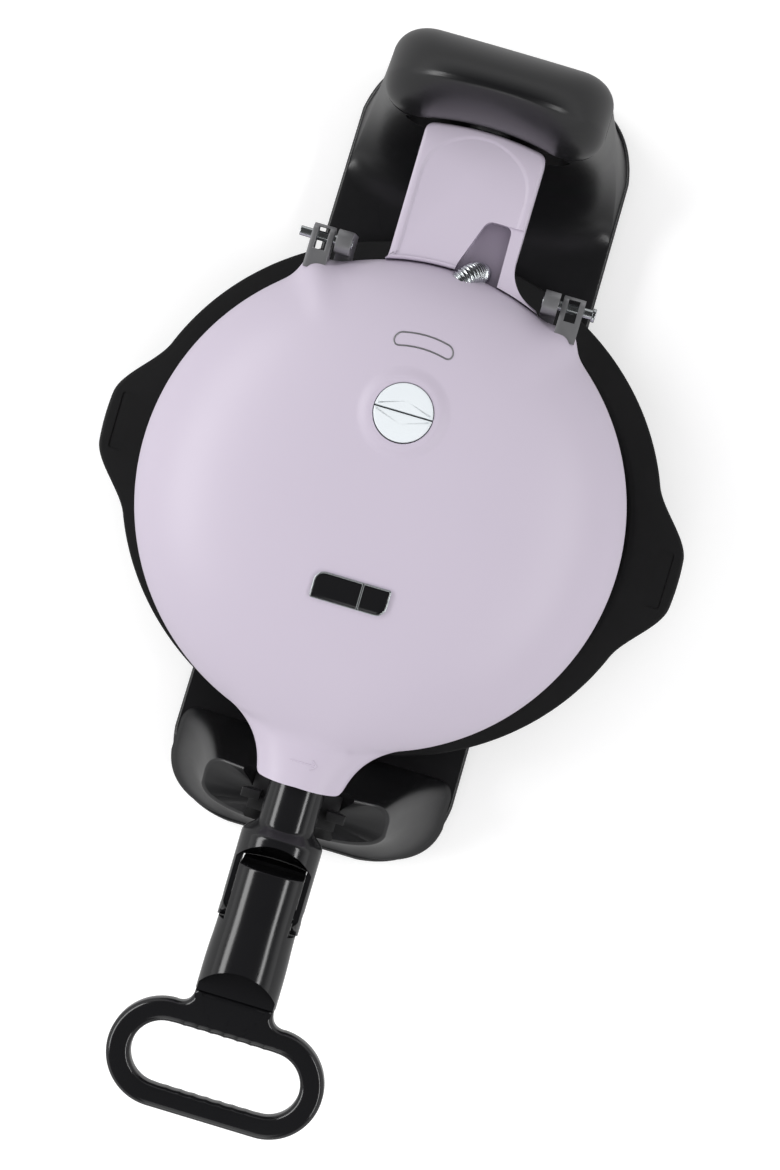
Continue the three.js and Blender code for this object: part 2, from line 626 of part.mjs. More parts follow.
const nutFront = bushFlange + gap;
const shaftEnd = nutFront + shaft.nutThickness + gap;
const flangeFront = arm.rear - arm.wall - gap - shaft.flangeThickness;
const flangeTop = arm.top - arm.wall - gap; // the flange is cut flat here, which keys it to the arm
const flangeFlat = box(new THREE.Vector3(-shaft.flange - overrun, flangeFront - overrun, flangeTop),
  new THREE.Vector3(shaft.flange + overrun, flangeFront + shaft.flangeThickness, shaft.flange + overrun));
const pivotShaft = turnedY([[shaft.bore, flangeFront], [shaft.flange, flangeFront],
  [shaft.flange, flangeFront + shaft.flangeThickness], [bearing.shaft, flangeFront + shaft.flangeThickness],
  [bearing.shaft, shaftEnd], [shaft.bore, shaftEnd], [shaft.bore, flangeFront]]);
add(turning, 'pivot_shaft', pivotShaft.subtract(flangeFlat), 'steel');

add(turning, 'pivot_nut', barY(shaft.nutRadius, nutFront, nutFront + shaft.nutThickness, 6)
  .subtract(barY(bushInner, nutFront - overrun, nutFront + shaft.nutThickness + overrun)), 'steel');

// Gland in the tower's back, where the mains lead leaves
const rearEnd = stand.rear + gap + gland.flangeThickness;
const glandFront = stand.rear - gland.depth;
const glandBody = turnedY([[gland.bore, glandFront], [gland.radius, glandFront],
  [gland.radius, stand.rear + gap], [gland.flange, stand.rear + gap], [gland.flange, rearEnd],
  [gland.bore, rearEnd], [gland.bore, glandFront]], smallSides);
add(plan, 'cord_gland', glandBody, 'rubber').position.z = gland.z;

// Drip tray: a shallow dish with a wide flat rim and an ear on each side
function trayReach(angle, inset, eared) {
  const across = (tray.halfWidth - inset) * Math.cos(angle);
  const along = (tray.halfLength - inset) * Math.sin(angle);
  const fall = smoothStep(tray.earInner, tray.earOuter, Math.abs(along));
  const ear = between(tray.earReach - tray.halfWidth, 0, fall);
  return [across + (eared ? Math.sign(across) * ear : 0), along];
}

function trayRing(inset, z, eared = false) {
  const ring = [];
  const steps = roundSides * 2;
  for (let k = 0; k < steps; k += 1) {
    const [x, y] = trayReach((k + 0.5) * 2 * Math.PI / steps, inset, eared);
    ring.push(new THREE.Vector3(x, y, z));
  }
  return ring;
}

function makeTray() {
  const bottom = stand.deck + gap;
  const floor = bottom + tray.wall;
  const under = tray.rimTop - tray.rimThickness;
  const rings = [
    trayRing(tray.floorInset, bottom), trayRing(tray.rimWidth + tray.slant, floor),
    trayRing(tray.rimWidth, under), trayRing(0, under, true), trayRing(0, tray.rimTop, true),
    trayRing(tray.rimWidth, tray.rimTop), trayRing(tray.rimWidth + tray.wall, under),
    trayRing(tray.rimWidth + tray.slant + tray.wall, floor + tray.wall),
    trayRing(tray.floorInset + tray.wall, floor),
  ];
  let dish = solidOf(ringBody(rings, new THREE.Vector3(0, 0, bottom), new THREE.Vector3(0, 0, floor)));
  for (const side of [-1, 1]) {
    const halfMark = tray.markWidth / 2;
    const mark = roundedShape(side * tray.markX, 0, halfMark, tray.markLength / 2, halfMark / 2);
    dish = dish.subtract(solidOf(prismZ(mark, tray.rimTop - tray.markDepth, tray.rimTop + overrun)));
  }
  return dish;
}

add(plan, 'drip_tray', makeTray(), 'matte');

// The conduit's way through the shells
const routePoints = conduitRoute.map(([x, past, z]) => new THREE.Vector3(x, shellRadius + past, z));
const route = new THREE.CatmullRomCurve3(routePoints, false, 'centripetal');

function conduitPort() { // what the shells leave open round it
  const section = new THREE.Shape();
  section.absarc(0, 0, conduit.radius + 2 * runningGap, 0, 2 * Math.PI);
  return solidOf(new THREE.ExtrudeGeometry(section, {
    steps: smallSides, curveSegments: smallSides / 2, bevelEnabled: false, extrudePath: route,
  }));
}

// Lower shell with its arm, whose rear end is arched
function armShape(inset, rearCorner) {
  const shape = new THREE.Shape();
  const half = arm.halfWidth - inset;
  const rear = arm.rear - inset;
  const front = shellRadius - shellWall - arm.root;
  const archEnd = half - rearCorner;
  const shoulder = rear - arm.arch - 2 * arm.arch / archEnd * rearCorner; // the arch runs on into the corner
  const flare = (reach) => {
    const rim = Math.sqrt(shellRadius ** 2 - (half + reach) ** 2);
    const end = shellRadius + flareShares.length * reach;
    return { wide: half + reach, rim, bend: rim + flareShares.bend * reach, end };
  };
  const left = flare(arm.flareLeft);
  const right = flare(hinge.knuckleInner - arm.hingeRoom - inset - half);
  shape.moveTo(-left.wide, front);
  shape.lineTo(right.wide, front);
  shape.lineTo(right.wide, right.rim);
  shape.quadraticCurveTo(half, right.bend, half, right.end);
  shape.lineTo(half, shoulder - rearCorner);
  shape.quadraticCurveTo(half, shoulder, archEnd, rear - arm.arch);
  shape.quadraticCurveTo(0, rear + arm.arch, -archEnd, rear - arm.arch);
  shape.quadraticCurveTo(-half, shoulder, -half, shoulder - rearCorner);
  shape.lineTo(-half, left.end);
  shape.quadraticCurveTo(-half, left.bend, -left.wide, left.rim);
  return shape;
}

function slotShape() {
  const { leftFront, leftRear, rightFront, rightRear, rear, corner } = conduitSlot;
  const front = shellRadius - conduit.radius;
  const shape = new THREE.Shape();
  shape.moveTo(leftFront, front);
  shape.lineTo(rightFront, front);
  shape.lineTo(rightRear, rear - corner);
  shape.quadraticCurveTo(rightRear, rear, rightRear - corner, rear);
  shape.lineTo(leftRear + corner, rear);
  shape.quadraticCurveTo(leftRear, rear, leftRear - gap, rear - corner);
  shape.closePath();
  return shape;
}

function makeLowerShell() {
  const block = solidOf(prismZ(armShape(0, arm.corner), -arm.bottom, arm.top, arm.edge));
  const panelShape = armShape(arm.panelInset, arm.panelCorner);
  const panel = solidOf(prismZ(panelShape, arm.top - arm.panelDepth, arm.top + overrun));
  const half = arm.halfWidth - arm.wall;
  const wallFront = arm.rear - arm.wall;
  const hollow = box(new THREE.Vector3(-half, shellRadius - arm.root, arm.wall - arm.bottom),
    new THREE.Vector3(half, wallFront - 2 * arm.arch, arm.top - arm.wall))
    .add(box(new THREE.Vector3(-shaft.flange - gap, shellRadius, arm.wall - arm.bottom),
      new THREE.Vector3(shaft.flange + gap, wallFront, arm.top - arm.wall)));
  const swing = barZ(shellRadius + runningGap, -runningGap / 2, arm.top + overrun, roundSides * 2);
  const slot = solidOf(prismZ(slotShape(), 0, arm.top + overrun));
  const ledgeInner = conduitSlot.rightRear - conduitSlot.corner; // beside the slot, the arm is lower
  const ledgeOuter = hinge.knuckleInner + overrun;
  const ledge = box(new THREE.Vector3(ledgeInner, shellRadius - arm.root, arm.top - conduitSlot.ledgeDrop),
    new THREE.Vector3(ledgeOuter, conduitSlot.rear, arm.top + overrun));
  const armBody = block.subtract(panel).subtract(swing).subtract(slot).subtract(ledge);
  return shellBody(-1, 0, false).add(armBody).subtract(hollow)
    .subtract(shellBody(-1, -shellWall, false, overrun))
    .subtract(barY(bearing.shaft + gap, wallFront - overrun, arm.rear + overrun, smallSides))
    .subtract(conduitPort());
}

add(turning, 'lower_shell', makeLowerShell(), 'lavender');

// Knuckles on the lower shell, each with an upright slot in which its hinge pin floats
function eyeShape(front, drop, rise) {
  const shape = new THREE.Shape();
  shape.moveTo(front, -drop);
  shape.lineTo(hinge.y + hinge.eyeRadius, -drop + hinge.eyeRadius);
  shape.lineTo(hinge.y + hinge.eyeRadius, hinge.rise + rise);
  shape.absarc(hinge.y, hinge.rise + rise, hinge.eyeRadius, 0, Math.PI);
  shape.lineTo(hinge.y - hinge.eyeRadius, -runningGap);
  shape.lineTo(front, -runningGap);
  shape.closePath();
  return shape;
}

function slotOutline() {
  const radius = hinge.pinRadius + gap;
  const shape = new THREE.Shape();
  shape.absarc(hinge.y, hinge.rise + hinge.float, radius, 0, Math.PI);
  shape.absarc(hinge.y, hinge.rise, radius, Math.PI, 2 * Math.PI);
  shape.closePath();
  return shape;
}

function sideRange(side, inner, outer) {
  return side > 0 ? [inner, outer] : [-outer, -inner];
}

function makeKnuckle(side) {
  const [from, to] = sideRange(side, hinge.knuckleInner, hinge.knuckleOuter);
  return solidOf(prismX(eyeShape(hinge.footFront, hinge.footDrop, hinge.float), from, to))
    .subtract(solidOf(prismX(slotOutline(), from - overrun, to + overrun)))
    .subtract(shellBody(-1, gap, false));
}

// Brackets on the lid: two cheeks and two bridges round an open window, with the pin through the cheeks
function makeBracket(side) {
  const [from, to] = sideRange(side, hinge.bracketInner, hinge.bracketOuter);
  const shape = new THREE.Shape();
  shape.moveTo(hinge.bracketFront, hinge.rise - hinge.eyeRadius);
  shape.lineTo(hinge.y, hinge.rise - hinge.eyeRadius);
  shape.absarc(hinge.y, hinge.rise, hinge.eyeRadius, -Math.PI / 2, Math.PI / 2);
  shape.lineTo(hinge.bracketFront, hinge.rise + hinge.eyeRadius);
  shape.closePath();
  const windowFront = shellRadius * Math.cos(bumpAngle) + hinge.bumpReach + hinge.bridge;
  const windowRear = hinge.y + hinge.eyeRadius - hinge.bridge / 2;
  const windowHalf = hinge.eyeRadius + overrun;
  const window = box(new THREE.Vector3(from + hinge.cheek, windowFront, hinge.rise - windowHalf),
    new THREE.Vector3(to - hinge.cheek, windowRear, hinge.rise + windowHalf));
  const bore = barX(hinge.pinRadius + gap, from - overrun, to + overrun).translate([0, hinge.y, hinge.rise]);
  return solidOf(prismX(shape, from, to)).subtract(window).subtract(bore).subtract(shellBody(1, gap, true));
}

function makePin(side) {
  const end = hinge.pinEnd - (side > 0 ? hinge.headLength : 0);
  const [from, to] = sideRange(side, hinge.knuckleInner - gap, end);
  const pin = barX(hinge.pinRadius, from, to);
  if (side < 0) return pin.translate([0, hinge.y, hinge.rise]);
  return pin.add(barX(hinge.headRadius, end - gap, hinge.pinEnd)).translate([0, hinge.y, hinge.rise]);
}

for (const [name, side] of [['left', -1], ['right', 1]]) {
  add(turning, `hinge_knuckle_${name}`, makeKnuckle(side), 'zinc');
  add(turning, `hinge_bracket_${name}`, makeBracket(side), 'zinc');
  add(turning, `hinge_pin_${name}`, makePin(side), 'steel');
}

// Ribbed steel conduit with its bore: straight plain ends, ribs between them
function makeConduit() {
  const length = route.getLength();
  const plain = 2 * conduit.radius;
  const ribs = Math.floor((length - 2 * plain) / conduit.pitch);
  const places = [[0, 1]];
  for (let k = 0; k < ribs; k += 1) {
    const along = plain + k * conduit.pitch;
    places.push([along, 0], [along + conduit.pitch / 2, 1]);
  }
  places.push([length, 1]);
  const ringAt = (along, radius) => {
    const share = Math.min(1, along / length);
    const centre = route.getPointAt(share);
    const tangent = route.getTangentAt(share);
    const first = new THREE.Vector3(1, 1, 0).cross(tangent).normalize();
    const second = new THREE.Vector3().crossVectors(tangent, first);
    const ring = [];
    for (let k = 0; k < conduit.ribSides; k += 1) {
      const turn = 2 * Math.PI * k / conduit.ribSides;
      const point = centre.clone().addScaledVector(first, radius * Math.cos(turn));
      ring.push(point.addScaledVector(second, radius * Math.sin(turn)));
    }
    return ring;
  };
  const outer = places.map(([along, high]) => ringAt(along, conduit.radius - (high ? 0 : conduit.ribDepth)));
  const inner = [];
  const boreStep = conduit.boreEvery * conduit.pitch;
  for (let along = length; along > 0; along -= boreStep) inner.push(ringAt(along, conduit.bore));
  inner.push(ringAt(0, conduit.bore));
  return ringLoop([...outer, ...inner]);
}

add(turning, 'wiring_conduit', makeConduit(), 'steel');

// Cooking plates with pegs and a cross of ridges
function makePlate() {
  const p = plate;
  const pan = turnedZ([[0, -p.panDepth], [p.panFloorRadius, -p.panDepth], [p.panWaist, -p.panWaistDepth],
    [p.panRadius, -p.flangeDepth], [p.flangeRadius, -p.flangeDepth], [p.flangeRadius, -p.flangeTop],
    [p.wellRadius, -p.flangeTop], [p.wellShoulder, -p.wellShoulderDepth], [p.wellFloorRadius, -p.wellDepth],
    [0, -p.wellDepth]], roundSides + smallSides);
  const sunk = gap;
  const height = p.wellDepth - p.pegTopDepth + sunk;
  const peg = new THREE.CylinderGeometry(p.pegTop / Math.SQRT2, p.pegBase / Math.SQRT2, height, 4)
    .rotateY(Math.PI / 4).rotateX(Math.PI / 2).translate(0, 0, height / 2 - p.wellDepth - sunk);
  const pegSolid = solidOf(peg);
  let body = pan;
  const steps = Math.ceil(p.pegReach / p.pegPitch);
  for (let i = -steps; i < steps; i += 1) {
    for (let j = -steps; j < steps; j += 1) {
      const x = (i + 0.5) * p.pegPitch;
      const y = (j + 0.5) * p.pegPitch;
      if (Math.hypot(x, y) < p.pegReach) body = body.add(pegSolid.translate([x, y, 0]));
    }
  }
  const reach = p.wellFloorRadius + gap;
  const ridgeTop = -p.pegTopDepth;
  for (const [across, along] of [[p.ridgeWidth / 2, reach], [reach, p.ridgeWidth / 2]]) {
    body = body.add(box(new THREE.Vector3(-across, -along, -p.wellDepth - sunk),
      new THREE.Vector3(across, along, ridgeTop)));
  }
  return body;
}

function makeHeater() {
  const start = 2 * Math.PI * heater.openShare / 2;
  const points = [];
  for (let k = 0; k <= heater.steps; k += 1) {
    const turn = start + (2 * Math.PI - 2 * start) * k / heater.steps - Math.PI / 2;
    points.push(new THREE.Vector3(heater.ringRadius * Math.cos(turn), heater.ringRadius * Math.sin(turn), 0));
  }
  const tube = new THREE.Shape();
  tube.absarc(0, 0, heater.tubeRadius, 0, 2 * Math.PI);
  return new THREE.ExtrudeGeometry(tube, {
    steps: heater.steps, curveSegments: heater.sides / 2, bevelEnabled: false,
    extrudePath: new THREE.CatmullRomCurve3(points),
  });
}

const lowerWorks = new THREE.Group();
const upperWorks = new THREE.Group();
upperWorks.rotation.y = Math.PI;
turning.add(lowerWorks, upperWorks);
for (const [name, works] of [['lower', lowerWorks], ['upper', upperWorks]]) {
  add(works, `${name}_plate`, makePlate(), 'coated');
  add(works, `${name}_heater`, makeHeater(), 'steel').position.z = -plate.panDepth - gap - heater.tubeRadius;
  const block = new THREE.BoxGeometry(thermostat.width, thermostat.depth, thermostat.height);
  add(works, `${name}_thermostat`, block, 'matte').position.set(
    0, thermostat.y, -plate.panDepth - gap - thermostat.height / 2);
}

// Upper shell with the raised seat of the lamp
const lampSeat = new THREE.Matrix4().makeRotationX(slopeAt(lamp.y))
  .setPosition(0, lamp.y, topOfShell(0, lamp.y));

function seated(geometry, seat) {
  return solidOf(geometry.clone().applyMatrix4(seat));
}

function discGeometry(radius, from, to) {
  return new THREE.CylinderGeometry(radius, radius, to - from, roundSides).rotateX(Math.PI / 2)
    .translate(0, 0, (from + to) / 2);
}

function makeUpperShell() {
  const boss = seated(discGeometry(lamp.boss, -lamp.bossDepth, lamp.bossRise), lampSeat);
  const boreFoot = -lamp.bossDepth - shellWall - overrun;
  const bore = seated(discGeometry(lamp.radius + gap, boreFoot, lamp.bossRise + overrun), lampSeat);
  return shellBody(1, 0, true).add(boss).subtract(shellBody(1, -shellWall, false, overrun)).subtract(bore)
    .subtract(conduitPort());
}

add(turning, 'upper_shell', makeUpperShell(), 'lavender');

// Lamp: a round lens in two halves over its holder
function makeLens(side) {
  const disc = discGeometry(lamp.radius, lamp.bossRise + gap - lamp.thickness, lamp.bossRise + gap);
  const far = lamp.radius + overrun;
  const keep = new THREE.BoxGeometry(2 * far, far, 2 * far).translate(0, side * (far + lamp.split) / 2, 0);
  return seated(disc, lampSeat).intersect(seated(keep, lampSeat));
}

add(turning, 'power_lamp_lens', makeLens(1), 'lens');
add(turning, 'ready_lamp_lens', makeLens(-1), 'lens');
const holderTop = lamp.bossRise - lamp.thickness;
const holderFlange = -lamp.bossDepth - shellWall;
const holderBody = seated(discGeometry(lamp.radius, holderFlange - gap, holderTop), lampSeat)
  .add(seated(discGeometry(lamp.flange, holderFlange - lamp.holderDepth, holderFlange - gap), lampSeat));
add(turning, 'lamp_holder', holderBody, 'matte');

// Badge: a plain plate in a thin rim, both bent to the dome
function badgeShape(inset) { // two opposite corners are wide arcs, the other two are tight
  const shape = new THREE.Shape();
  for (const [side, way, quarter] of [[1, 1, 0], [-1, 1, 1], [-1, -1, 2], [1, -1, 3]]) {
    const wanted = Math.max((side === way ? badge.tight : badge.round) - inset, inset / 2);
    const radius = Math.min(wanted, (badge.height / 2 - inset) / 2);
    const x = side * (badge.width / 2 - inset - radius);
    const y = badge.y + way * (badge.height / 2 - inset - radius);
    shape.absarc(x, y, radius, quarter * Math.PI / 2, (quarter + 1) * Math.PI / 2);
  }
  return shape;
}

function badgeRing(inset, lift) {
  const points = badgeShape(inset).getSpacedPoints(roundSides).slice(0, -1);
  return points.map((p) => new THREE.Vector3(p.x, p.y, topOfShell(p.x, p.y) + lift));
}

const badgeTop = gap + badge.thickness;
add(turning, 'badge_rim', ringLoop([badgeRing(0, gap), badgeRing(0, badgeTop), badgeRing(badge.rim, badgeTop),
  badgeRing(badge.rim, gap)]), 'steel');
const badgeInset = badge.rim + gap;
const badgeMiddle = badge.height / 2 - 2 * gap;
add(turning, 'badge_plate', ringBody([badgeRing(badgeMiddle, gap), badgeRing(badgeInset, gap),
  badgeRing(badgeInset, badgeTop - gap), badgeRing(badgeMiddle, badgeTop - gap)],
new THREE.Vector3(0, badge.y, topOfShell(0, badge.y) + gap),
new THREE.Vector3(0, badge.y, topOfShell(0, badge.y) + badgeTop - gap)), 'gloss');

// Front trunnion in two halves; the upper one carries the handle's collar
const trunnionRear = neckReach + gap;
const pastCollar = collar.radius + overrun;
const belowParting = (front, rear) => box(new THREE.Vector3(-pastCollar, -front, -pastCollar),
  new THREE.Vector3(pastCollar, -rear, runningGap / 2));
add(turning, 'lower_trunnion', barY(trunnion.radius, -trunnion.front, -trunnionRear)
  .intersect(belowParting(trunnion.front, trunnionRear).translate([0, 0, -runningGap])), 'matte');

function collarSideShape() { // what is kept, seen from the side, in Y and Z
  const { topEnd, bottomEnd, strapHalf, cheekRadius } = collar;
  const far = pastCollar;
  const angle = Math.asin(strapHalf / cheekRadius);
  const shape = new THREE.Shape();
  shape.moveTo(-neckReach, -far);
  shape.lineTo(-neckReach, far);
  shape.lineTo(-topEnd, far);
  shape.lineTo(-topEnd, strapHalf);
  shape.absarc(-foldPin.reach, 0, cheekRadius, angle, 2 * Math.PI - angle);
  shape.lineTo(-bottomEnd, -strapHalf);
  shape.lineTo(-bottomEnd, -far);
  shape.closePath();
  return shape;
}

function makeCollar() { // a round bore, then two flat cheeks
  const end = foldPin.reach + collar.cheekRadius;
  const far = pastCollar;
  const blank = turnedY([[0, -end], [collar.radius, -end], [collar.radius, -collar.coneEnd],
    [trunnion.radius, -trunnion.front], [trunnion.radius, -trunnionRear], [0, -trunnionRear]]);
  const mouth = barZ(collar.mouthRadius, collar.strapHalf, far).translate([0, -collar.mouthY, 0]);
  const flats = (front, rear) => box(new THREE.Vector3(-collar.cheekInner, -front, -far),
    new THREE.Vector3(collar.cheekInner, -rear, far));
  const room = barY(collar.bore, -collar.bottomEnd, -collar.boreStart)
    .add(flats(end + overrun, collar.bottomEnd - gap));
  return blank.subtract(belowParting(trunnion.front + gap, trunnionRear - overrun))
    .subtract(room).subtract(mouth).intersect(solidOf(prismX(collarSideShape(), -far, far)))
    .subtract(barX(foldPin.radius + gap, -far, far).translate([0, -foldPin.reach, 0]));
}

add(turning, 'handle_collar', makeCollar(), 'gloss');
add(turning, 'fold_pin', barX(foldPin.radius, gap - collar.radius, collar.radius - gap)
  .translate([0, -foldPin.reach, 0]), 'steel');

// Handle: a round stem that folds up on the pin, flat where it turns between the cheeks, and the loop grip
function makeStem() {
  const s = stem;
  const far = s.radius + overrun;
  const shoulder = foldPin.reach + collar.cheekRadius + gap;
  const profile = [[0, -s.tip], [s.tongue - s.tipEdge, -s.tip], [s.tongue, -s.tip - s.tipEdge],
    [s.tongue, -s.swellFrom], [s.radius, -s.swellTo], [s.radius, -s.end], [0, -s.end]];
  const side = box(new THREE.Vector3(s.flat, -shoulder, -far), new THREE.Vector3(far, overrun - s.tip, far));
  const scoop = barZ(s.scoopRadius, loop.thickness / 2, far).translate([0, -s.scoopY, 0]);
  return turnedY(profile).subtract(side).subtract(side.mirror([1, 0, 0])).subtract(scoop)
    .subtract(scoop.mirror([0, 0, 1]))
    .subtract(barX(foldPin.radius + gap, -far, far).translate([0, -foldPin.reach, 0]));
}

add(turning, 'handle_stem', makeStem(), 'gloss');

function loopShape() {
  const radius = (loop.front - loop.rear) / 2;
  const middle = -(loop.front + loop.rear) / 2;
  const reach = loop.halfWidth - radius;
  const top = -stem.end - gap;
  const shape = new THREE.Shape();
  shape.moveTo(-loop.neckHalf, top);
  shape.quadraticCurveTo(-loop.neckHalf, -loop.rear, -loop.flareHalf, -loop.rear - gap);
  shape.absarc(-reach, middle, radius, Math.PI / 2, 1.5 * Math.PI);
  shape.absarc(reach, middle, radius, -Math.PI / 2, Math.PI / 2);
  shape.lineTo(loop.flareHalf, -loop.rear - gap);
  shape.quadraticCurveTo(loop.neckHalf, -loop.rear, loop.neckHalf, top);
  shape.closePath();
  const slot = new THREE.Path();
  const slotReach = loop.slotHalfWidth - loop.slotHalfHeight;
  slot.absarc(slotReach, -loop.slotY, loop.slotHalfHeight, -Math.PI / 2, Math.PI / 2);
  slot.absarc(-slotReach, -loop.slotY, loop.slotHalfHeight, Math.PI / 2, 1.5 * Math.PI);
  shape.holes.push(slot);
  return shape;
}

const loopBody = prismZ(loopShape(), -loop.thickness / 2, loop.thickness / 2, loop.bevel);
add(turning, 'handle_loop', solidOf(loopBody), 'gloss');

// The origin goes under the middle of the whole, front to back
plan.position.y = (loop.front - rearEnd) / 2;
export default plan;
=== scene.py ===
import json
import math
import bpy
import numpy as np
from mathutils import Matrix, Vector

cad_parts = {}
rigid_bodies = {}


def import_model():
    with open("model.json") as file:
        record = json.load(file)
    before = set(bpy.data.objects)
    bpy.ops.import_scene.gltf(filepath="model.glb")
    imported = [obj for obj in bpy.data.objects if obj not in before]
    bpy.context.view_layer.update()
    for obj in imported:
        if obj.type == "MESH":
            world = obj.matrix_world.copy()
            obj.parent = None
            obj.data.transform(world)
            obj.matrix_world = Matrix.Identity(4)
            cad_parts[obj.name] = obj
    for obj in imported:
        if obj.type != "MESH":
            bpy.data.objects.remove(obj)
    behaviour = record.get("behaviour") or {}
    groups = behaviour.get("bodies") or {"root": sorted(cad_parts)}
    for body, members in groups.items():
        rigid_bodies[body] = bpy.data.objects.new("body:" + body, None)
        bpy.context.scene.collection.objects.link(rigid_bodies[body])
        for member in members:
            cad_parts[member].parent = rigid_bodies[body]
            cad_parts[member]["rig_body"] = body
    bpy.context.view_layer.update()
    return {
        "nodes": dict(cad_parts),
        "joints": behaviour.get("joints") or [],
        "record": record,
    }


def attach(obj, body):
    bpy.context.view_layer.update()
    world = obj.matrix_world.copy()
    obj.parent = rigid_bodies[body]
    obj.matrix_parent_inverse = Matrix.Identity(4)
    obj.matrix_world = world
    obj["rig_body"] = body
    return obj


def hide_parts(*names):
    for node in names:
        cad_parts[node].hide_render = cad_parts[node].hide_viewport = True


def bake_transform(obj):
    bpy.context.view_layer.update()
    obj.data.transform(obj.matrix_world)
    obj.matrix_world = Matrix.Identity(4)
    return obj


# Rotating waffle maker. Lengths are millimetres: X right, Y from the middle of the plates towards the tower,
# Z from the table, or from the turning axis for the pieces that turn. toFrame brings them into the frame.
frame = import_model()
joints = {joint["name"]: joint for joint in frame["joints"]}
turnPlace = joints["body_turn"]["pos_m"]
plateShift = turnPlace[1] * 1000
axisHeight = turnPlace[2] * 1000
sharpAngle = 38  # degrees: edges sharper than this are drawn crisp


def toFrame(points, onAxis):
    lifted = np.array([0.0, plateShift, axisHeight if onAxis else 0.0])
    return (points + lifted) / 1000


# Surfaces
def ringBody(rings, loop=False):
    # A closed body through rings of equally many points, shaped (rings, points, 3). Each end is closed to its
    # ring's middle; with loop, the last ring joins the first. The volume's sign turns the faces outwards.
    rings = np.stack(rings)
    ringCount, count = rings.shape[:2]
    grid = np.arange(ringCount * count).reshape(ringCount, count)
    if loop:
        grid = np.vstack([grid, grid[:1]])
    shifted = np.roll(grid, -1, axis=1)
    quads = np.stack([grid[:-1], shifted[:-1], shifted[1:], grid[1:]], -1).reshape(-1, 4)
    points = rings.reshape(-1, 3)
    triangles = np.zeros((0, 3), int)
    if not loop:
        points = np.vstack([points, rings[0].mean(0), rings[-1].mean(0)])
        start, end = np.full(count, len(points) - 2), np.full(count, len(points) - 1)
        triangles = np.vstack([np.stack([start, shifted[0], grid[0]], -1),
                               np.stack([end, grid[-1], shifted[-1]], -1)])
    fans = np.vstack([quads[:, [0, 1, 2]], quads[:, [0, 2, 3]], triangles])
    corners = points[fans]
    volume = np.einsum("ij,ij->i", np.cross(corners[:, 0], corners[:, 1]), corners[:, 2]).sum()
    if volume < 0:
        quads, triangles = quads[:, ::-1], triangles[:, ::-1]
    return points, quads, triangles


def flatEnded(rings):
    # the same body with one face on each end, for an outline that can't be seen whole from its middle
    points, quads, triangles = ringBody(rings)
    first = np.arange(rings.shape[1])
    last = first + len(points) - 2 - len(first)
    ends = [first[::-1], last] if triangles[0, 0] == len(points) - 2 else [first, last[::-1]]
    return points[:-2], quads, np.array(ends)


def newObject(name, data):
    created = bpy.data.objects.new(name, data)
    bpy.context.scene.collection.objects.link(created)
    return created


def meshObject(name, bodies, onAxis=True):
    mesh = bpy.data.meshes.new(name)
    points, faces, start = [], [], 0
    for bodyPoints, quads, triangles in bodies:
        points.append(bodyPoints)
        faces += (quads + start).tolist() + (triangles + start).tolist()
        start += len(bodyPoints)
    mesh.from_pydata(toFrame(np.vstack(points), onAxis).tolist(), [], faces)
    return newObject(name, mesh)


def applyModifiers(piece):
    # the modifiers' result becomes the piece's own mesh
    view = bpy.context.evaluated_depsgraph_get()
    view.update()
    mesh = bpy.data.meshes.new_from_object(piece.evaluated_get(view))
    piece.modifiers.clear()
    piece.data = mesh


def combine(piece, operation, bodies, onAxis=True):
    # cuts the piece with other bodies, joins them to it or keeps what they share, one body after another
    for body in bodies:
        tool = meshObject("tool", [body], onAxis)
        modifier = piece.modifiers.new("combined", "BOOLEAN")
        modifier.operation = operation
        modifier.solver = "EXACT"
        modifier.object = tool
        applyModifiers(piece)
        bpy.data.objects.remove(tool)


def finishPiece(piece, material, body, replaced=(), finish=None):
    mesh = piece.data
    mesh.materials.clear()
    mesh.materials.append(materials[finish or material])
    mesh.polygons.foreach_set("use_smooth", np.ones(len(mesh.polygons), bool))
    mesh.polygons.foreach_set("material_index", np.zeros(len(mesh.polygons), np.int32))
    mesh.set_sharp_from_angle(angle=math.radians(sharpAngle))
    mesh.update()
    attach(piece, body)
    if replaced:
        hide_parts(*replaced)


def addPiece(name, bodies, material, body, replaced=(), onAxis=True):
    finishPiece(meshObject(name, bodies, onAxis), material, body, replaced)


def atHeight(flat, height):
    # flat points, all lifted to one height
    return np.column_stack([flat, np.full(len(flat), float(height))])


def quadratic(t, start, control, end):
    # a curve that leaves its start and reaches its end along the lines to the control point
    return (1 - t) ** 2 * np.asarray(start) + 2 * t * (1 - t) * np.asarray(control) + t ** 2 * np.asarray(end)


def spaced(path, count, endpoint=True):
    # Points evenly spaced along a path, and how far along it each one is.
    length = np.concatenate([[0], np.cumsum(np.linalg.norm(np.diff(path, axis=0), axis=1))])
    even = np.linspace(0, length[-1], count, endpoint=endpoint)
    return np.stack([np.interp(even, length, values) for values in path.T], -1), even


def subdivided(outline, parts):
    # each side of a closed outline in equal parts
    sides = zip(outline, np.roll(outline, -1, axis=0))
    return np.vstack([np.linspace(start, end, parts, endpoint=False) for start, end in sides])


def roundedEdge(radius, steps, begin=0.0):
    # Pairs of how far in and how far down, round a quarter circle from a body's side to its top.
    turn = np.linspace(begin, np.pi / 2, steps)
    return list(zip(radius * (1 - np.cos(turn)), radius * (1 - np.sin(turn))))


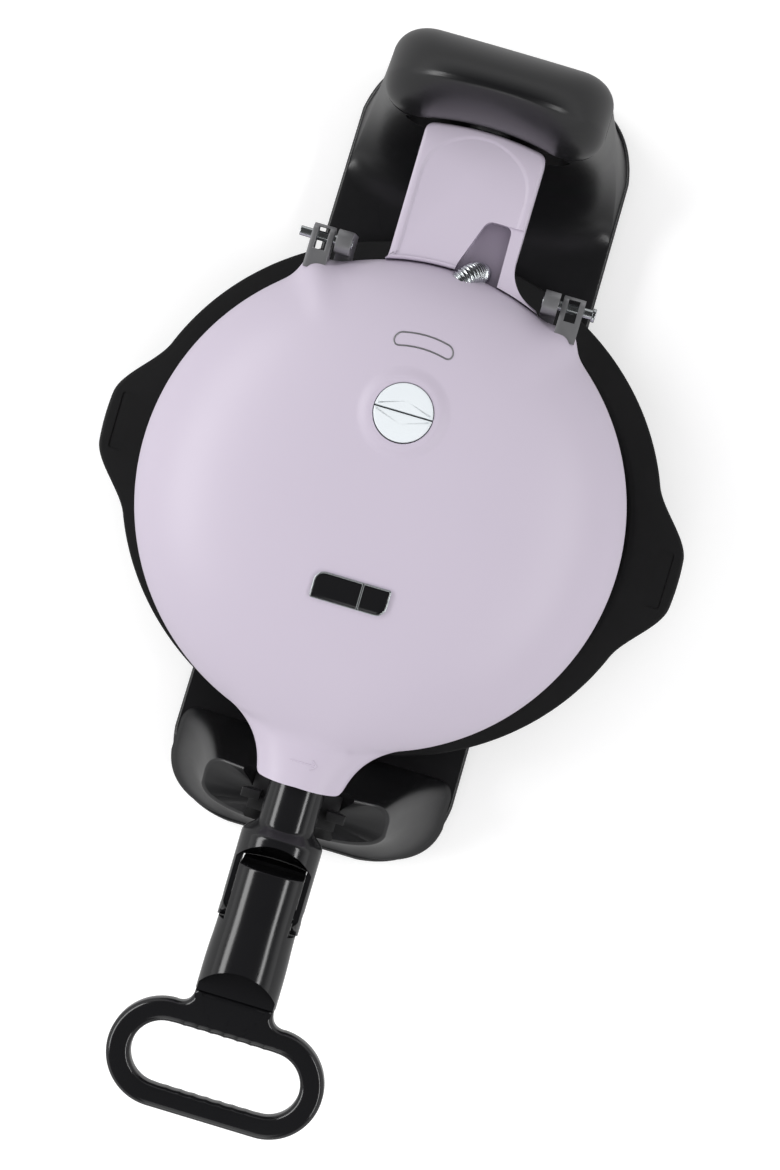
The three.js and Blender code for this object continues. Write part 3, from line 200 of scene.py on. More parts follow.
def roundedPath(corners, radii, steps=6):
    # A path of straight lines whose corners are rounded: each is a quadratic curve that starts and ends the
    # radius away from the corner, along its two lines.
    corners = np.asarray(corners, float)
    share = np.linspace(0, 1, steps)[:, None]
    path = [corners[:1]]
    for before, corner, after, radius in zip(corners[:-2], corners[1:-1], corners[2:], radii):
        if radius == 0:
            path.append(corner[None])
            continue
        start = corner + (before - corner) / np.linalg.norm(before - corner) * radius
        end = corner + (after - corner) / np.linalg.norm(after - corner) * radius
        path.append(quadratic(share, start, corner, end))
    path.append(corners[-1:])
    return np.vstack(path)


def turnedAbout(axis, profile, centre=(0, 0, 0), sides=96):
    # A profile of (radius, place along the axis) turned about X, Y or Z through the centre.
    turn = np.linspace(0, 2 * np.pi, sides, endpoint=False)
    radius, along = profile[:, :1], profile[:, 1:]
    across = radius * np.cos(turn)
    upward = radius * np.sin(turn)
    length = along + np.zeros_like(across)
    order = {"x": (length, across, upward), "y": (across, length, upward), "z": (across, upward, length)}
    return np.stack(order[axis], -1) + np.asarray(centre, float)


def turned(axis, corners, radii, centre=(0, 0, 0), sides=96):
    return ringBody(turnedAbout(axis, roundedPath(corners, radii), centre, sides))


def rod(axis, radius, start, end, rounding, centre=(0, 0, 0), sides=48):
    # a solid round rod whose two ends are rounded
    return turned(axis, [(0.2, start), (radius, start), (radius, end), (0.2, end)], rounding, centre, sides)


def bar(axis, radius, start, end, centre=(0, 0, 0), sides=128):
    # the same with sharp ends, to cut with
    return ringBody(turnedAbout(axis, np.array([[radius, start], [radius, end]], float), centre, sides))


def prism(outline, start, end, axis="z"):
    # A flat outline of (across, upward) points carried straight along an axis.
    rings = np.stack([atHeight(np.asarray(outline, float), place) for place in (start, end)])
    return ringBody(rings[..., {"z": [0, 1, 2], "x": [2, 0, 1], "y": [0, 2, 1]}[axis]])


def insetOutline(outline, distance):
    # Each point of a closed outline moves inwards, square to the line through its two neighbours.
    along = np.roll(outline, -1, axis=0) - np.roll(outline, 1, axis=0)
    inward = np.stack([-along[:, 1], along[:, 0]], -1) / np.linalg.norm(along, axis=1, keepdims=True)
    area = np.sum(outline[:, 0] * np.roll(outline[:, 1], -1) - outline[:, 1] * np.roll(outline[:, 0], -1))
    return outline + inward * distance * np.sign(area)


def roundedRectangle(halfWidth, halfHeight, radii, steps=12):
    # Four quarter circles, joined by straight sides. Two radii are for the two pairs of opposite corners.
    turn = np.linspace(0, np.pi / 2, steps)
    quarters = []
    for k, (sideX, sideY) in enumerate([(1, 1), (-1, 1), (-1, -1), (1, -1)]):
        corner, angle = np.broadcast_to(radii, 2)[k % 2], turn + k * np.pi / 2
        quarters.append(np.stack([sideX * (halfWidth - corner) + corner * np.cos(angle),
                                  sideY * (halfHeight - corner) + corner * np.sin(angle)], -1))
    return np.vstack(quarters)


def mixed(start, end, share):
    start, end = np.asarray(start), np.asarray(end)
    return start + (end - start) * share


def smoothStep(low, high, value):
    share = np.clip((value - low) / (high - low), 0, 1)
    return share * share * (3 - 2 * share)


def flowing(places, values, at):
    # A smooth line through the values: between two places a cubic, its slopes the mean of the slopes beside.
    places, values = np.asarray(places, float), np.asarray(values, float)
    slopes = np.gradient(values, places)
    k = np.clip(np.searchsorted(places, at, side="right") - 1, 0, len(places) - 2)
    width = places[k + 1] - places[k]
    t = (at - places[k]) / width
    return ((2 * t ** 3 - 3 * t ** 2 + 1) * values[k] + (t ** 3 - 2 * t ** 2 + t) * width * slopes[k]
            + (3 * t ** 2 - 2 * t ** 3) * values[k + 1] + (t ** 3 - t ** 2) * width * slopes[k + 1])


# Materials
grainDepth = 0.0002  # metres that the bump stands for
finishes = {
    # colour, shade, roughness from and to, grain and its bump, cloud; then metallic, transmission, specular
    "lavender": ((0.530, 0.475, 0.568), (0.510, 0.457, 0.550), (0.4, 0.48), 900, 0.04, 18),
    "gloss_black": ((0.0075, 0.0075, 0.0085), (0.010, 0.010, 0.011), (0.12, 0.2), 260, 0.015, 30),
    "satin_black": ((0.0065, 0.0065, 0.0075), (0.009, 0.009, 0.010), (0.27, 0.34), 700, 0.03, 30),
    "matte_black": ((0.013, 0.013, 0.014), (0.018, 0.018, 0.019), (0.45, 0.6), 1500, 0.12, 40),
    "tray_black": ((0.0075, 0.0075, 0.008), (0.010, 0.010, 0.0105), (0.5, 0.62), 1700, 0.15, 25, 0, 0, 0.22),
    "foot_rubber": ((0.012, 0.012, 0.012), (0.02, 0.02, 0.02), (0.75, 0.9), 1200, 0.2, 60),
    "plate_coating": ((0.030, 0.030, 0.033), (0.042, 0.042, 0.045), (0.34, 0.5), 1400, 0.2, 45, 0.35),
    "bright_steel": ((0.60, 0.63, 0.64), (0.52, 0.55, 0.56), (0.18, 0.3), 700, 0.05, 80, 1.0),
    "cast_grey": ((0.33, 0.33, 0.34), (0.26, 0.26, 0.27), (0.38, 0.52), 1100, 0.2, 120, 0.75),
    "lamp_lens": ((0.78, 0.82, 0.85), (0.74, 0.78, 0.81), (0.16, 0.24), 500, 0.03, 90, 0, 0.05),
}


def feed(tree, node, inputs):
    # each input, by name or number, gets a plain value or another node's output
    for key, value in inputs.items():
        if isinstance(value, bpy.types.NodeSocket):
            tree.links.new(value, node.inputs[key])
        else:
            node.inputs[key].default_value = value


def addNode(tree, kind, inputs=None, **settings):
    node = tree.nodes.new("ShaderNode" + kind)
    for name, value in settings.items():
        setattr(node, name, value)
    feed(tree, node, inputs or {})
    return node


def twoColours(tree, factor, first, second):
    # sockets 6 and 7 of a colour mix are its colours, output 2 is the mixed one
    inputs = {"Factor": factor, 6: (*first, 1), 7: (*second, 1)}
    return addNode(tree, "Mix", inputs, data_type="RGBA").outputs[2]


def makeMaterial(name, colour, shade, roughness, grain, depth, cloud, metallic=0.0, clear=0.0, specular=0.5):
    # Fine grain for the bump, and a slow cloud that shifts the colour and the roughness a little.
    material = bpy.data.materials.new(name)
    material.use_nodes = True
    tree = material.node_tree
    place = addNode(tree, "TexCoord").outputs["Object"]
    fine = addNode(tree, "TexNoise", {"Vector": place, "Scale": grain, "Detail": 3}).outputs["Fac"]
    slow = addNode(tree, "TexNoise", {"Vector": place, "Scale": cloud, "Detail": 2}).outputs["Fac"]
    span = addNode(tree, "MapRange", {"Value": slow, "To Min": roughness[0], "To Max": roughness[1]})
    bump = addNode(tree, "Bump", {"Height": fine, "Strength": depth, "Distance": grainDepth})
    feed(tree, tree.nodes["Principled BSDF"], {
        "Metallic": metallic, "Transmission Weight": clear, "Specular IOR Level": specular,
        "Base Color": twoColours(tree, slow, colour, shade), "Roughness": span.outputs["Result"],
        "Normal": bump.outputs["Normal"],
    })
    return material


materials = {name: makeMaterial(name, *settings) for name, settings in finishes.items()}
slotOf = {part["node"]: part["material_slot"] for part in frame["record"]["subparts"]}
for name, node in frame["nodes"].items():
    node.data.materials.clear()
    node.data.materials.append(materials[slotOf[name]])
print("materials made")

# Shells: a round dome that runs out into a neck in front, with two lobes at the hinges
shell = {
    "radius": 110, "height": 47, "wall": 2.2, "rimBand": 3, "edgePower": 2.6, "crownPower": 0.53,
    "rimRound": 0.7, "edge": 0.2, "neckStart": 102.8, "neckReach": 129.6, "neckNarrow": 17.6,
    "neckSpread": 21.4, "neckFall": 11.5, "neckCorner": 3.0, "neckRise": 18.5,
    "neckBegins": 27, "neckWhole": 20,  # degrees from the front
    "lobeReach": 5.5, "lobeSpan": 7.5, "lobeX": 57.45, "lobeShare": 0.72,
}
lamp = {"y": 43.5, "radius": 13, "gap": 0.3, "boss": 15.0, "bossFoot": 21.0, "rise": 1.5, "pocket": 4,
        "thickness": 2.6, "split": 0.7, "lensEdge": 0.6, "lensProud": 0.35, "cup": 3.2, "cupWall": 1.6}


def neckHalf(forward):
    # the neck's half-width falls off exponentially towards its end
    past = forward - shell["neckStart"]
    return shell["neckNarrow"] + shell["neckSpread"] * np.exp(-past / shell["neckFall"])


def outlineTable():
    # The outline's reach by angle from the front: the circle, the neck's flank, its rounded corner and its
    # straight end; a running mean over a degree or two makes them flow into each other.
    end, corner = shell["neckReach"], shell["neckCorner"]
    flank = np.linspace(shell["neckStart"], end - corner, 200)
    halfEnd = neckHalf(end - corner)
    turn = np.linspace(0, np.pi / 2, 40)
    forward = np.concatenate([flank, end - corner + corner * np.sin(turn), [end]])
    across = np.concatenate([neckHalf(flank), halfEnd - corner + corner * np.cos(turn), [0]])
    neckAngles = np.arctan2(across, forward)[::-1]
    neckReaches = np.hypot(across, forward)[::-1]
    angles = np.radians(np.arange(-1800, 1801) / 10)
    neck = np.interp(abs(angles), neckAngles, neckReaches)
    reach = np.where(abs(angles) < neckAngles[-1], neck, shell["radius"])
    near = 8  # tenths of a degree to both sides
    window = np.hanning(2 * near + 1)
    padded = np.concatenate([reach[-near - 1:-1], reach, reach[1:near + 1]])
    return angles, np.convolve(padded, window / window.sum(), "valid")


tableAngles, tableReaches = outlineTable()


def lobeAt(angle):
    lobeAngle = np.pi - np.arcsin(shell["lobeX"] / shell["radius"])
    away = (abs(angle) - lobeAngle) * shell["radius"]
    return shell["lobeReach"] * np.exp(-(away / shell["lobeSpan"]) ** 2)


def outlineReach(angle, grow, lobed):
    return np.interp(angle, tableAngles, tableReaches) + grow + (lobeAt(angle) if lobed else 0)


def shellRise(x, y, grow=0.0, lobed=True):
    # Height over the parting plane: the dome falls off as a power of the share of the reach, the neck is half
    # an ellipse across, and the two are joined by adding their fourth powers.
    reach = np.hypot(x, y)
    angle = np.arctan2(x, -y)
    rim, height = shell["rimBand"], shell["height"] + grow
    full = outlineReach(angle, grow, False)
    inNeck = smoothStep(math.radians(shell["neckBegins"]), math.radians(shell["neckWhole"]), abs(angle))
    full = full * (1 - inNeck) + (shell["radius"] + grow) * inNeck
    share = np.clip(reach / full, 0, 1)
    if lobed:  # the lobes swell the rim and fade out up the dome, so the share is found in a few rounds
        for _ in range(4):
            swell = lobeAt(angle) * smoothStep(shell["lobeShare"], 1, share) / np.maximum(share, 0.5)
            share = np.clip(reach / (full + swell), 0, 1)
    dome = rim + (height - rim) * (1 - share ** shell["edgePower"]) ** shell["crownPower"]
    forward = -y
    half = neckHalf(np.maximum(forward, shell["neckStart"])) + grow
    across = np.clip(abs(x) / half, 0, 1)
    begun = smoothStep(shell["neckStart"] - shell["height"], shell["neckStart"], forward)
    neck = rim + (shell["neckRise"] + grow - rim) * np.sqrt(1 - across ** 2) * begun
    return (dome ** 4 + neck ** 4 - rim ** 4) ** 0.25


def reachFrom(centreY, angles, grow, lobed):
    # how far the outline is from a centre on the mid-line, by angle about that centre
    outline = outlineReach(tableAngles, grow, lobed)
    x, y = outline * np.sin(tableAngles), -outline * np.cos(tableAngles) - centreY
    return np.interp(angles, np.arctan2(x, -y), np.hypot(x, y))


def shellBody(centreY, lampSeat, lobed):
    span = 24  # degrees to both sides of the front, where the outline gets more points
    degrees = np.concatenate([np.linspace(-span, span, 145)[:-1], np.linspace(span, 360 - span, 391)[:-1]])
    angles = np.radians(np.where(degrees > 180, degrees - 360, degrees))
    direction = np.stack([np.sin(angles), -np.cos(angles)], -1)
    rings = []

    def ring(reach, grow, lift, height=None):
        spot = direction * np.reshape(reach, (-1, 1)) + [0, centreY]
        x, y = spot[:, 0], spot[:, 1]
        rise = shellRise(x, y, grow, lobed) + lift if height is None else height
        rings.append(np.column_stack([x, y, rise + 0 * x]))

    nearest = lamp["bossFoot"] if lampSeat else 0.0
    if lampSeat:
        lip = lamp["radius"] + lamp["gap"]
        for reach in (lip * 0.5, lip):
            ring(reach, 0, -lamp["pocket"])
        ring(lip, 0, lamp["rise"] - 0.25)
        ring(lip + 0.25, 0, lamp["rise"])
        for reach in np.linspace(lip + 0.7, lamp["bossFoot"], 14):
            ring(reach, 0, lamp["rise"] * (1 - smoothStep(lamp["boss"], lamp["bossFoot"], reach)))
    outer = reachFrom(centreY, angles, 0, lobed)
    steps = np.linspace(0, 1, 72)[1:]
    for share in 1 - (1 - steps) ** 1.8:
        ring(nearest + (outer - nearest) * share, 0, 0)
    corner, edge = shell["rimRound"], shell["edge"]
    for inset, drop in roundedEdge(corner, 5):
        ring(outer - inset, 0, 0, edge + drop)
    inner = reachFrom(centreY, angles, -shell["wall"], lobed)
    ring(inner, 0, 0, edge)
    for share in np.linspace(1, 0, 26)[:-1] ** 0.6:
        reach = inner * share
        deep = lamp["pocket"] * (1 - smoothStep(lamp["boss"], 2 * lamp["boss"], reach)) if lampSeat else 0
        ring(reach, -shell["wall"], -deep)
    return np.stack(rings)


upperBody = ringBody(shellBody(lamp["y"], True, True))
addPiece("upper_shell_dome", [upperBody], "lavender", "lid", ["upper_shell"])
print("upper shell made")

# Arm behind the lower shell, with its raised border and the conduit's slot
arm = {
    "halfWidth": 27.5, "flareLeft": 1.2, "rightEdge": 43.5, "flareEnd": 0.7, "rear": 172.2, "arch": 2.1,
    "corner": 4, "top": 10.5, "bottom": 21, "edge": 1.6, "front": 110.4, "frontInset": 0.04, "border": 3.0,
    "step": 0.9, "panelDepth": 0.9, "panelCorner": 14,
    "slot": [(2.3, 100), (22.8, 100), (22, 135), (10.5, 135), (2.3, 112)], "slotCorner": 3.5, "slotDepth": 15,
    "ledge": [(18.5, 95), (47, 95), (47, 135), (18.5, 135)], "ledgeDrop": 2,  # lower beside the slot
}


def armOutline(inset, corner, front):
    # Front arc about the plates' middle, side, rounded corner, arched rear, corner and side.
    half, rear = arm["halfWidth"] - inset, arm["rear"] - inset
    t = np.linspace(0, 1, 40, endpoint=False)[:, None]
    archEnd, archFoot = half - corner, rear - arm["arch"]
    shoulder = archFoot - 2 * arm["arch"] / archEnd * corner  # the arch runs on into the corner
    low = shoulder - corner
    # the right side runs out to the hinge in a wide flare, the left side hardly does
    right, left = arm["rightEdge"] - inset, half + arm["flareLeft"]
    # both flares leave the dome's circle along its tangent
    rimRight, rimLeft = (math.sqrt((arm["front"] + inset) ** 2 - wide ** 2) for wide in (right, left))
    endRight, endLeft = (arm["front"] + arm["flareEnd"] * (wide - half) for wide in (right, left))
    arcX = mixed(-left, right, t)
    # the rounded edge runs along the dome too, the panel's border hardly does
    reach = front + min(inset, arm["edge"]) + arm["frontInset"] * max(inset - arm["edge"], 0)
    arc = np.hstack([arcX, np.sqrt(reach ** 2 - arcX ** 2)])
    # every second point is a curve's control point
    chain = [(right, rimRight), (half, rimRight + (right - half) * right / rimRight), (half, endRight),
             (half, (endRight + low) / 2), (half, low), (half, shoulder), (archEnd, archFoot),
             (0, rear + arm["arch"]), (-archEnd, archFoot), (-half, shoulder), (-half, low),
             (-half, (endLeft + low) / 2), (-half, endLeft),
             (-half, rimLeft + arm["flareLeft"] * left / rimLeft), (-left, rimLeft)]
    return np.vstack([arc] + [quadratic(t, *chain[k:k + 3]) for k in range(0, len(chain) - 2, 2)])


def armBody():
    corner, front, inside = arm["corner"], arm["front"], shell["radius"] - 2
    rounding = roundedEdge(arm["edge"], 6)
    split = -0.3  # below this height the arm runs on into the lower shell
    rings = [(inset, corner, drop - arm["bottom"], inside) for inset, drop in rounding[::-1]]
    rings += [(0, corner, split, inside), (0, corner, split, front)]
    rings += [(inset, corner, arm["top"] - drop, front) for inset, drop in rounding]
    # the step down to the panel: how far across it, a little more or less, and how far down
    for share, more, deep in ((0, -0.3, 0), (0, 0, 0.08), (0.5, 0, 0.5), (1, 0, 0.92), (1, 0.3, 1)):
        rings.append((arm["border"] + arm["step"] * share + more, arm["panelCorner"],
                      arm["top"] - arm["panelDepth"] * deep, front))
    return np.stack([atHeight(armOutline(inset, bend, reach), height)
                     for inset, bend, height, reach in rings])


beyond = 5  # how far a cutter reaches past what it cuts
lowerPiece = meshObject("lower_shell_with_arm", [flatEnded(armBody())])
slotPath = np.array(arm["slot"], float)
slotLoop = roundedPath(np.vstack([slotPath, slotPath[:2]]), [0] + [arm["slotCorner"]] * 4)[1:-1]
for outline, depth in ((slotLoop, arm["slotDepth"]), (arm["ledge"], arm["ledgeDrop"])):
    combine(lowerPiece, "DIFFERENCE", [prism(outline, arm["top"] - depth, arm["top"] + beyond)])
both = [lowerPiece, meshObject("dome", [ringBody(shellBody(0.0, False, False) * np.array([1, 1, -1]))])]
with bpy.context.temp_override(active_object=both[0], selected_editable_objects=both, selected_objects=both):
    bpy.ops.object.join()
finishPiece(lowerPiece, "lavender", "lower_body", ["lower_shell"])
print("lower shell made")

# Beads that follow the dome: the turning arrow on the neck and the capsule frame behind the lamp
bead = {"halfWidth": 0.38, "rise": 0.3, "sunk": 0.25}


def beadBody(path, loop=False):
    # Half an ellipse carried along a flat path, each point lifted to the dome.
    along = np.roll(path, -1, axis=0) - np.roll(path, 1, axis=0) if loop else np.gradient(path, axis=0)
    side = np.stack([-along[:, 1], along[:, 0]], -1) / np.linalg.norm(along, axis=1, keepdims=True)
    turn = np.linspace(0, 2 * np.pi, 12, endpoint=False)
    spot = path[:, None] + side[:, None] * (bead["halfWidth"] * np.cos(turn))[:, None]
    lift = np.where(np.sin(turn) > 0, bead["rise"], bead["sunk"]) * np.sin(turn)
    height = shellRise(spot[..., 0], spot[..., 1]) + lift
    return ringBody(np.dstack([spot, height]), loop)


arrow = {"y": -118.2, "half": 6.2, "headX": 2.4, "headY": 2.2}
capsule = {"y": 75.5, "halfWidth": 13.2, "halfHeight": 3.0, "bend": 0.012}
tip = (arrow["half"], arrow["y"])
strokes = [((-arrow["half"], arrow["y"]), tip)]
strokes += [(tip, (tip[0] - arrow["headX"], tip[1] + side * arrow["headY"])) for side in (1, -1)]
addPiece("shell_relief", [beadBody(np.linspace(start, end, 24)) for start, end in strokes], "lavender", "lid")
high = capsule["halfHeight"]
capsulePath = subdivided(roundedRectangle(capsule["halfWidth"], high, high - 0.1), 6)
capsulePath[:, 1] += capsule["y"] - capsule["bend"] * capsulePath[:, 0] ** 2
# the capsule's embossed bead is drawn in dark grey, not lavender: painted shade for the shade along its
# outline
addPiece("label_outline_painted_shade", [beadBody(capsulePath, True)], "cast_grey", "lid")

# Lamp: two half lenses over their black holder, on the tilted seat; the holder's black rim in the thin gap
# round the lenses is painted shade for that gap
step = 2.0  # the seat's slope is taken over this much to both sides
slope = math.atan2(float(shellRise(0.0, lamp["y"] + step) - shellRise(0.0, lamp["y"] - step)), 2 * step)
lampSpot = np.array([0, lamp["y"], float(shellRise(0.0, lamp["y"]))])
lampTilt = np.array(Matrix.Rotation(slope, 3, "X"))
lensTop = lamp["rise"] + lamp["lensProud"]


def lensHalf(side):
    # Half a disc with a rounded corner at each end of the split, inset a little towards its top.
    radius, split, edge = lamp["radius"], lamp["split"] / 2, lamp["lensEdge"]
    start = math.asin(split / radius)
    turn = np.linspace(start, np.pi - start, 60)
    arc = np.stack([radius * np.cos(turn), radius * np.sin(turn)], -1)
    chord = np.linspace(arc[-1, 0], arc[0, 0], 40)[1:-1]
    outline = np.vstack([arc, atHeight(chord, split)])
    rings = [atHeight(outline, lensTop - lamp["thickness"])]
    rings += [atHeight(insetOutline(outline, inset), lensTop - drop) for inset, drop in roundedEdge(edge, 5)]
    rings.append(atHeight(insetOutline(outline, edge * 2), lensTop + 0.05))
    points = np.stack(rings) * np.array([1, side, 1])
    return points @ lampTilt.T + lampSpot


addPiece("lens_rear", [ringBody(lensHalf(1))], "lamp_lens", "lid", ["power_lamp_lens"])
addPiece("lens_front", [ringBody(lensHalf(-1))], "lamp_lens", "lid", ["ready_lamp_lens"])
cupFloor = lensTop - lamp["thickness"] - 0.1
cupTop, outside, within = cupFloor + lamp["cupWall"], lamp["radius"] + 0.2, lamp["radius"] + 0.05
holder = turnedAbout("z", np.array([(outside, -lamp["cup"]), (outside, cupTop), (within, cupTop),
                                    (within, cupFloor)]))
# the holder is a real part; its black top seen as a thin ring in the gap round the lenses is painted shade
# for the shadow in that gap
addPiece("lamp_cup", [ringBody(holder @ lampTilt.T + lampSpot)], "matte_black", "lid", ["lamp_holder"])

# Badge: a bare black plate in a thin bright rim, both bent to the dome
badge = {"y": -38, "halfWidth": 17.2, "halfHeight": 6.35, "rim": 0.85, "rise": 1.2, "plateRise": 0.9,
         "round": 5, "tight": 1.2, "barX": 4.5, "barHalf": 0.45, "seat": 0.15}


def badgeRing(inset, lift):
    # two opposite corners are wide arcs, the other two are tight
    radii = [max(badge[corner] - inset, 0.15) for corner in ("tight", "round")]
    outline = subdivided(roundedRectangle(badge["halfWidth"] - inset, badge["halfHeight"] - inset, radii), 4)
    x, y = outline[:, 0], outline[:, 1] + badge["y"]
    return np.stack([x, y, shellRise(x, y) + lift], -1)


rim, seat = badge["rim"], badge["seat"]
rimRings = [badgeRing(rim / 2 - rim / 2 * np.cos(turn), mixed(seat, badge["rise"], abs(np.sin(turn)) ** 0.6))
            for turn in np.linspace(0, np.pi, 11)]
rimRings += [badgeRing(rim, -0.2), badgeRing(0, -0.2)]
frameRim = meshObject("badge_frame", [ringBody(rimRings, loop=True)])
# a bar across, a little above the plate, so that the plate shows as two panels
wide, crown = badge["barHalf"], badge["barHalf"] - 0.15
barLoop = [(-wide, 0.75), (wide, 0.75), (wide, 1.05), (crown, 1.18), (-crown, 1.18), (-wide, 1.05)]
barY = badge["y"] + np.linspace(0.4 - badge["halfHeight"], badge["halfHeight"] - 0.4, 30)
barRise = shellRise(badge["barX"], barY)
barRings = np.stack([np.column_stack([np.full(30, badge["barX"] + x), barY, barRise + lift])
                     for x, lift in barLoop], axis=1)
combine(frameRim, "UNION", [ringBody(barRings)])
finishPiece(frameRim, "bright_steel", "lid", ["badge_rim"])
top, within = badge["plateRise"], 5.2  # the plate's two faces close to their middle from this far in
plateRings = [badgeRing(inset, lift) for inset, lift in (
    (within, 0.1), (rim + 0.05, 0.1), (rim + 0.05, top - 0.1), (rim + 0.2, top), (3, top), (within, top))]
addPiece("badge_face", [ringBody(plateRings)], "gloss_black", "lid", ["badge_plate"])
print("lamp and badge made")

# Stand: deck, tower and cradle, each a loft of rounded sections; the niche and the notch are cut out of them
stand = {
    "halfWidth": 71, "taper": 4, "front": 175, "rear": 213.5, "bottom": 2.6, "deck": 16, "wall": 3,
    "edge": 1.6, "frontCorner": (38, 38), "rearCorner": (33, 35.5), "frontShare": 0.09, "rearShare": 0.16,
    "roof": 13, "sectionSteps": 30, "sunk": 2,
}
tower = {"foot": 131, "top": 152, "topHalfWidth": 50, "topFront": 169, "topRear": 208.5, "lip": 1.2,
         "footCorner": (45, 14), "frontCorner": (16, 14), "rearCorner": (15, 14), "frontPower": 1.6,
         "sidePower": 0.75}
niche = {"radius": 38, "rear": 173.5, "depth": 90, "bearing": 9.8, "bearingFrom": 8, "bearingTo": 30}
cradle = {"rear": 125, "top": 133, "topHalfWidth": 44, "topFront": 154, "topRear": 131, "crestX": 22,
          "notch": 27.3, "notchFront": -190, "notchRear": -118, "corner": 20, "rearCorner": 8, "lip": 1.5,
          "frontPower": 0.7, "sidePower": 0.6, "fallX": 0.507, "fallY": 0.578, "edge": 1.5}


def section(wide, front, rear, frontCorner, rearCorner, height, taper=0.0, rearShare=stand["rearShare"]):
    # Half a section: a curved front corner, a straight side and a curved rear corner; the rest mirrors it.
    # A corner's two sizes are how far it reaches along the front or rear and along the side.
    t = np.linspace(0, 1, stand["sectionSteps"])[:, None]
    (frontX, frontY), (rearX, rearY), share = frontCorner, rearCorner, stand["frontShare"]
    slim = wide - taper
    right = np.vstack([
        quadratic(t, (wide - frontX, front), (wide - share * frontX, front + share * frontY),
                  (wide, front + frontY)),
        quadratic(t, (slim, rear - rearY), (slim - rearShare * rearX, rear - rearShare * rearY),
                  (slim - rearX, rear)),
    ])
    left = right[::-1] * np.array([-1, 1])
    # the straight front and rear lines also get points, so that the faces stay even
    frontLine, rearLine = np.linspace(left[-1], right[0], 20), np.linspace(right[-1], left[0], 20)
    return atHeight(np.vstack([frontLine[1:-1], right, rearLine[1:-1], left]), height)


def deckSection(inset, height):
    return section(stand["halfWidth"] - inset, inset - stand["front"], stand["rear"] - inset,
                   stand["frontCorner"], stand["rearCorner"], height, stand["taper"])


def towerSection(height):
    # the front sweeps up from a wide foot
    level = np.clip((height - stand["deck"]) / (tower["top"] - stand["deck"]), 0, 1)
    sweep = (1 - np.sqrt(1 - (1 - level) ** 2)) ** tower["frontPower"]
    footHalf = stand["halfWidth"] - stand["taper"] - tower["lip"]
    return section(mixed(footHalf, tower["topHalfWidth"], level ** tower["sidePower"]),
                   mixed(tower["topFront"], tower["foot"], sweep),
                   mixed(stand["rear"] - tower["lip"], tower["topRear"], level),
                   mixed(tower["footCorner"], tower["frontCorner"], level),
                   mixed(stand["rearCorner"], tower["rearCorner"], level), height)


def cradleSection(height, inset=0.0):
    # the top falls forwards and outwards from the notch
    level = np.clip((height - stand["deck"]) / (cradle["top"] - stand["deck"]), 0, 1)
    footCorner = (stand["frontCorner"][0], (stand["front"] - cradle["rear"]) / 2)
    wide = mixed(stand["halfWidth"] - cradle["lip"], cradle["topHalfWidth"], level ** cradle["sidePower"])
    front = mixed(cradle["lip"] - stand["front"], -cradle["topFront"], level ** cradle["frontPower"])
    rear, rearCorner = mixed(-cradle["rear"], -cradle["topRear"], level), cradle["rearCorner"]
    ring = section(wide - inset, front + inset, rear - inset,
                   mixed(footCorner, (cradle["corner"], rearCorner), level), [rearCorner] * 2, height,
                   rearShare=stand["frontShare"])
    fall = cradle["fallX"] * (abs(ring[:, 0]) - cradle["crestX"])
    fall -= cradle["fallY"] * (cradle["topRear"] + ring[:, 1])
    ring[:, 2] -= level * np.maximum(0, fall)
    return ring


bottom, start = stand["bottom"], stand["deck"] - stand["sunk"]
deckRings = [deckSection(inset, height) for inset, height in (
    (stand["wall"], stand["roof"]), (stand["wall"], bottom), (0.4, bottom), (0, bottom + 0.4))]
deckRings += [deckSection(inset, stand["deck"] - drop) for inset, drop in roundedEdge(stand["edge"], 7)]
housing = meshObject("housing", [ringBody(deckRings)], False)
towerRings = [towerSection(height) for height in mixed(start, tower["top"], np.linspace(0, 1, 60) ** 1.3)]
flankTop = cradle["top"] - cradle["edge"]
cradleRings = [cradleSection(height) for height in mixed(start, flankTop, np.linspace(0, 1, 50) ** 1.6)]
cradleRings += [cradleSection(cradle["top"] - drop, inset)
                for inset, drop in roundedEdge(cradle["edge"], 6, 0.2)]
combine(housing, "UNION", [ringBody(towerRings), ringBody(cradleRings)], False)
wall = niche["rear"]
for radius, low, high, sides in (
        (niche["radius"], wall - niche["depth"], wall, 128),
        (cradle["notch"], cradle["notchFront"], cradle["notchRear"], 128),
        (niche["bearing"], wall - niche["bearingFrom"], wall + niche["bearingTo"], 96)):
    combine(housing, "DIFFERENCE", [bar("y", radius, low, high, (0, 0, axisHeight), sides)], False)
finishPiece(housing, "gloss_black", "stand", ["base_housing"], finish="satin_black")
print("housing made")

# Cap: slices from front to back, each an arc up to the crest and a longer one down behind it
cap = {
    "halfWidth": 50, "endWidth": 49.9, "height": 44.7, "frontSeat": 169.8, "frontStraight": 34,
    "frontTurn": 14, "arch": 3.8, "archHalf": 31, "rearSeat": 208.5, "rearStraight": 32, "rearTurn": 15,
    "crest": 186.6, "crestSwing": 2, "cornerPower": 2.2, "crownPower": 2.4, "frontAngle": 0.33,
    "rearAngle": 0.42, "seat": 152.3, "edge": 0.5,
}


def turnedShare(x, straight):
    # how far a rounded corner has turned: 0 on the straight, 1 at the side
    share = np.clip((abs(x) - straight) / (cap["halfWidth"] - straight), 0, 1)
    return 1 - (1 - share ** cap["cornerPower"]) ** (1 / cap["cornerPower"])


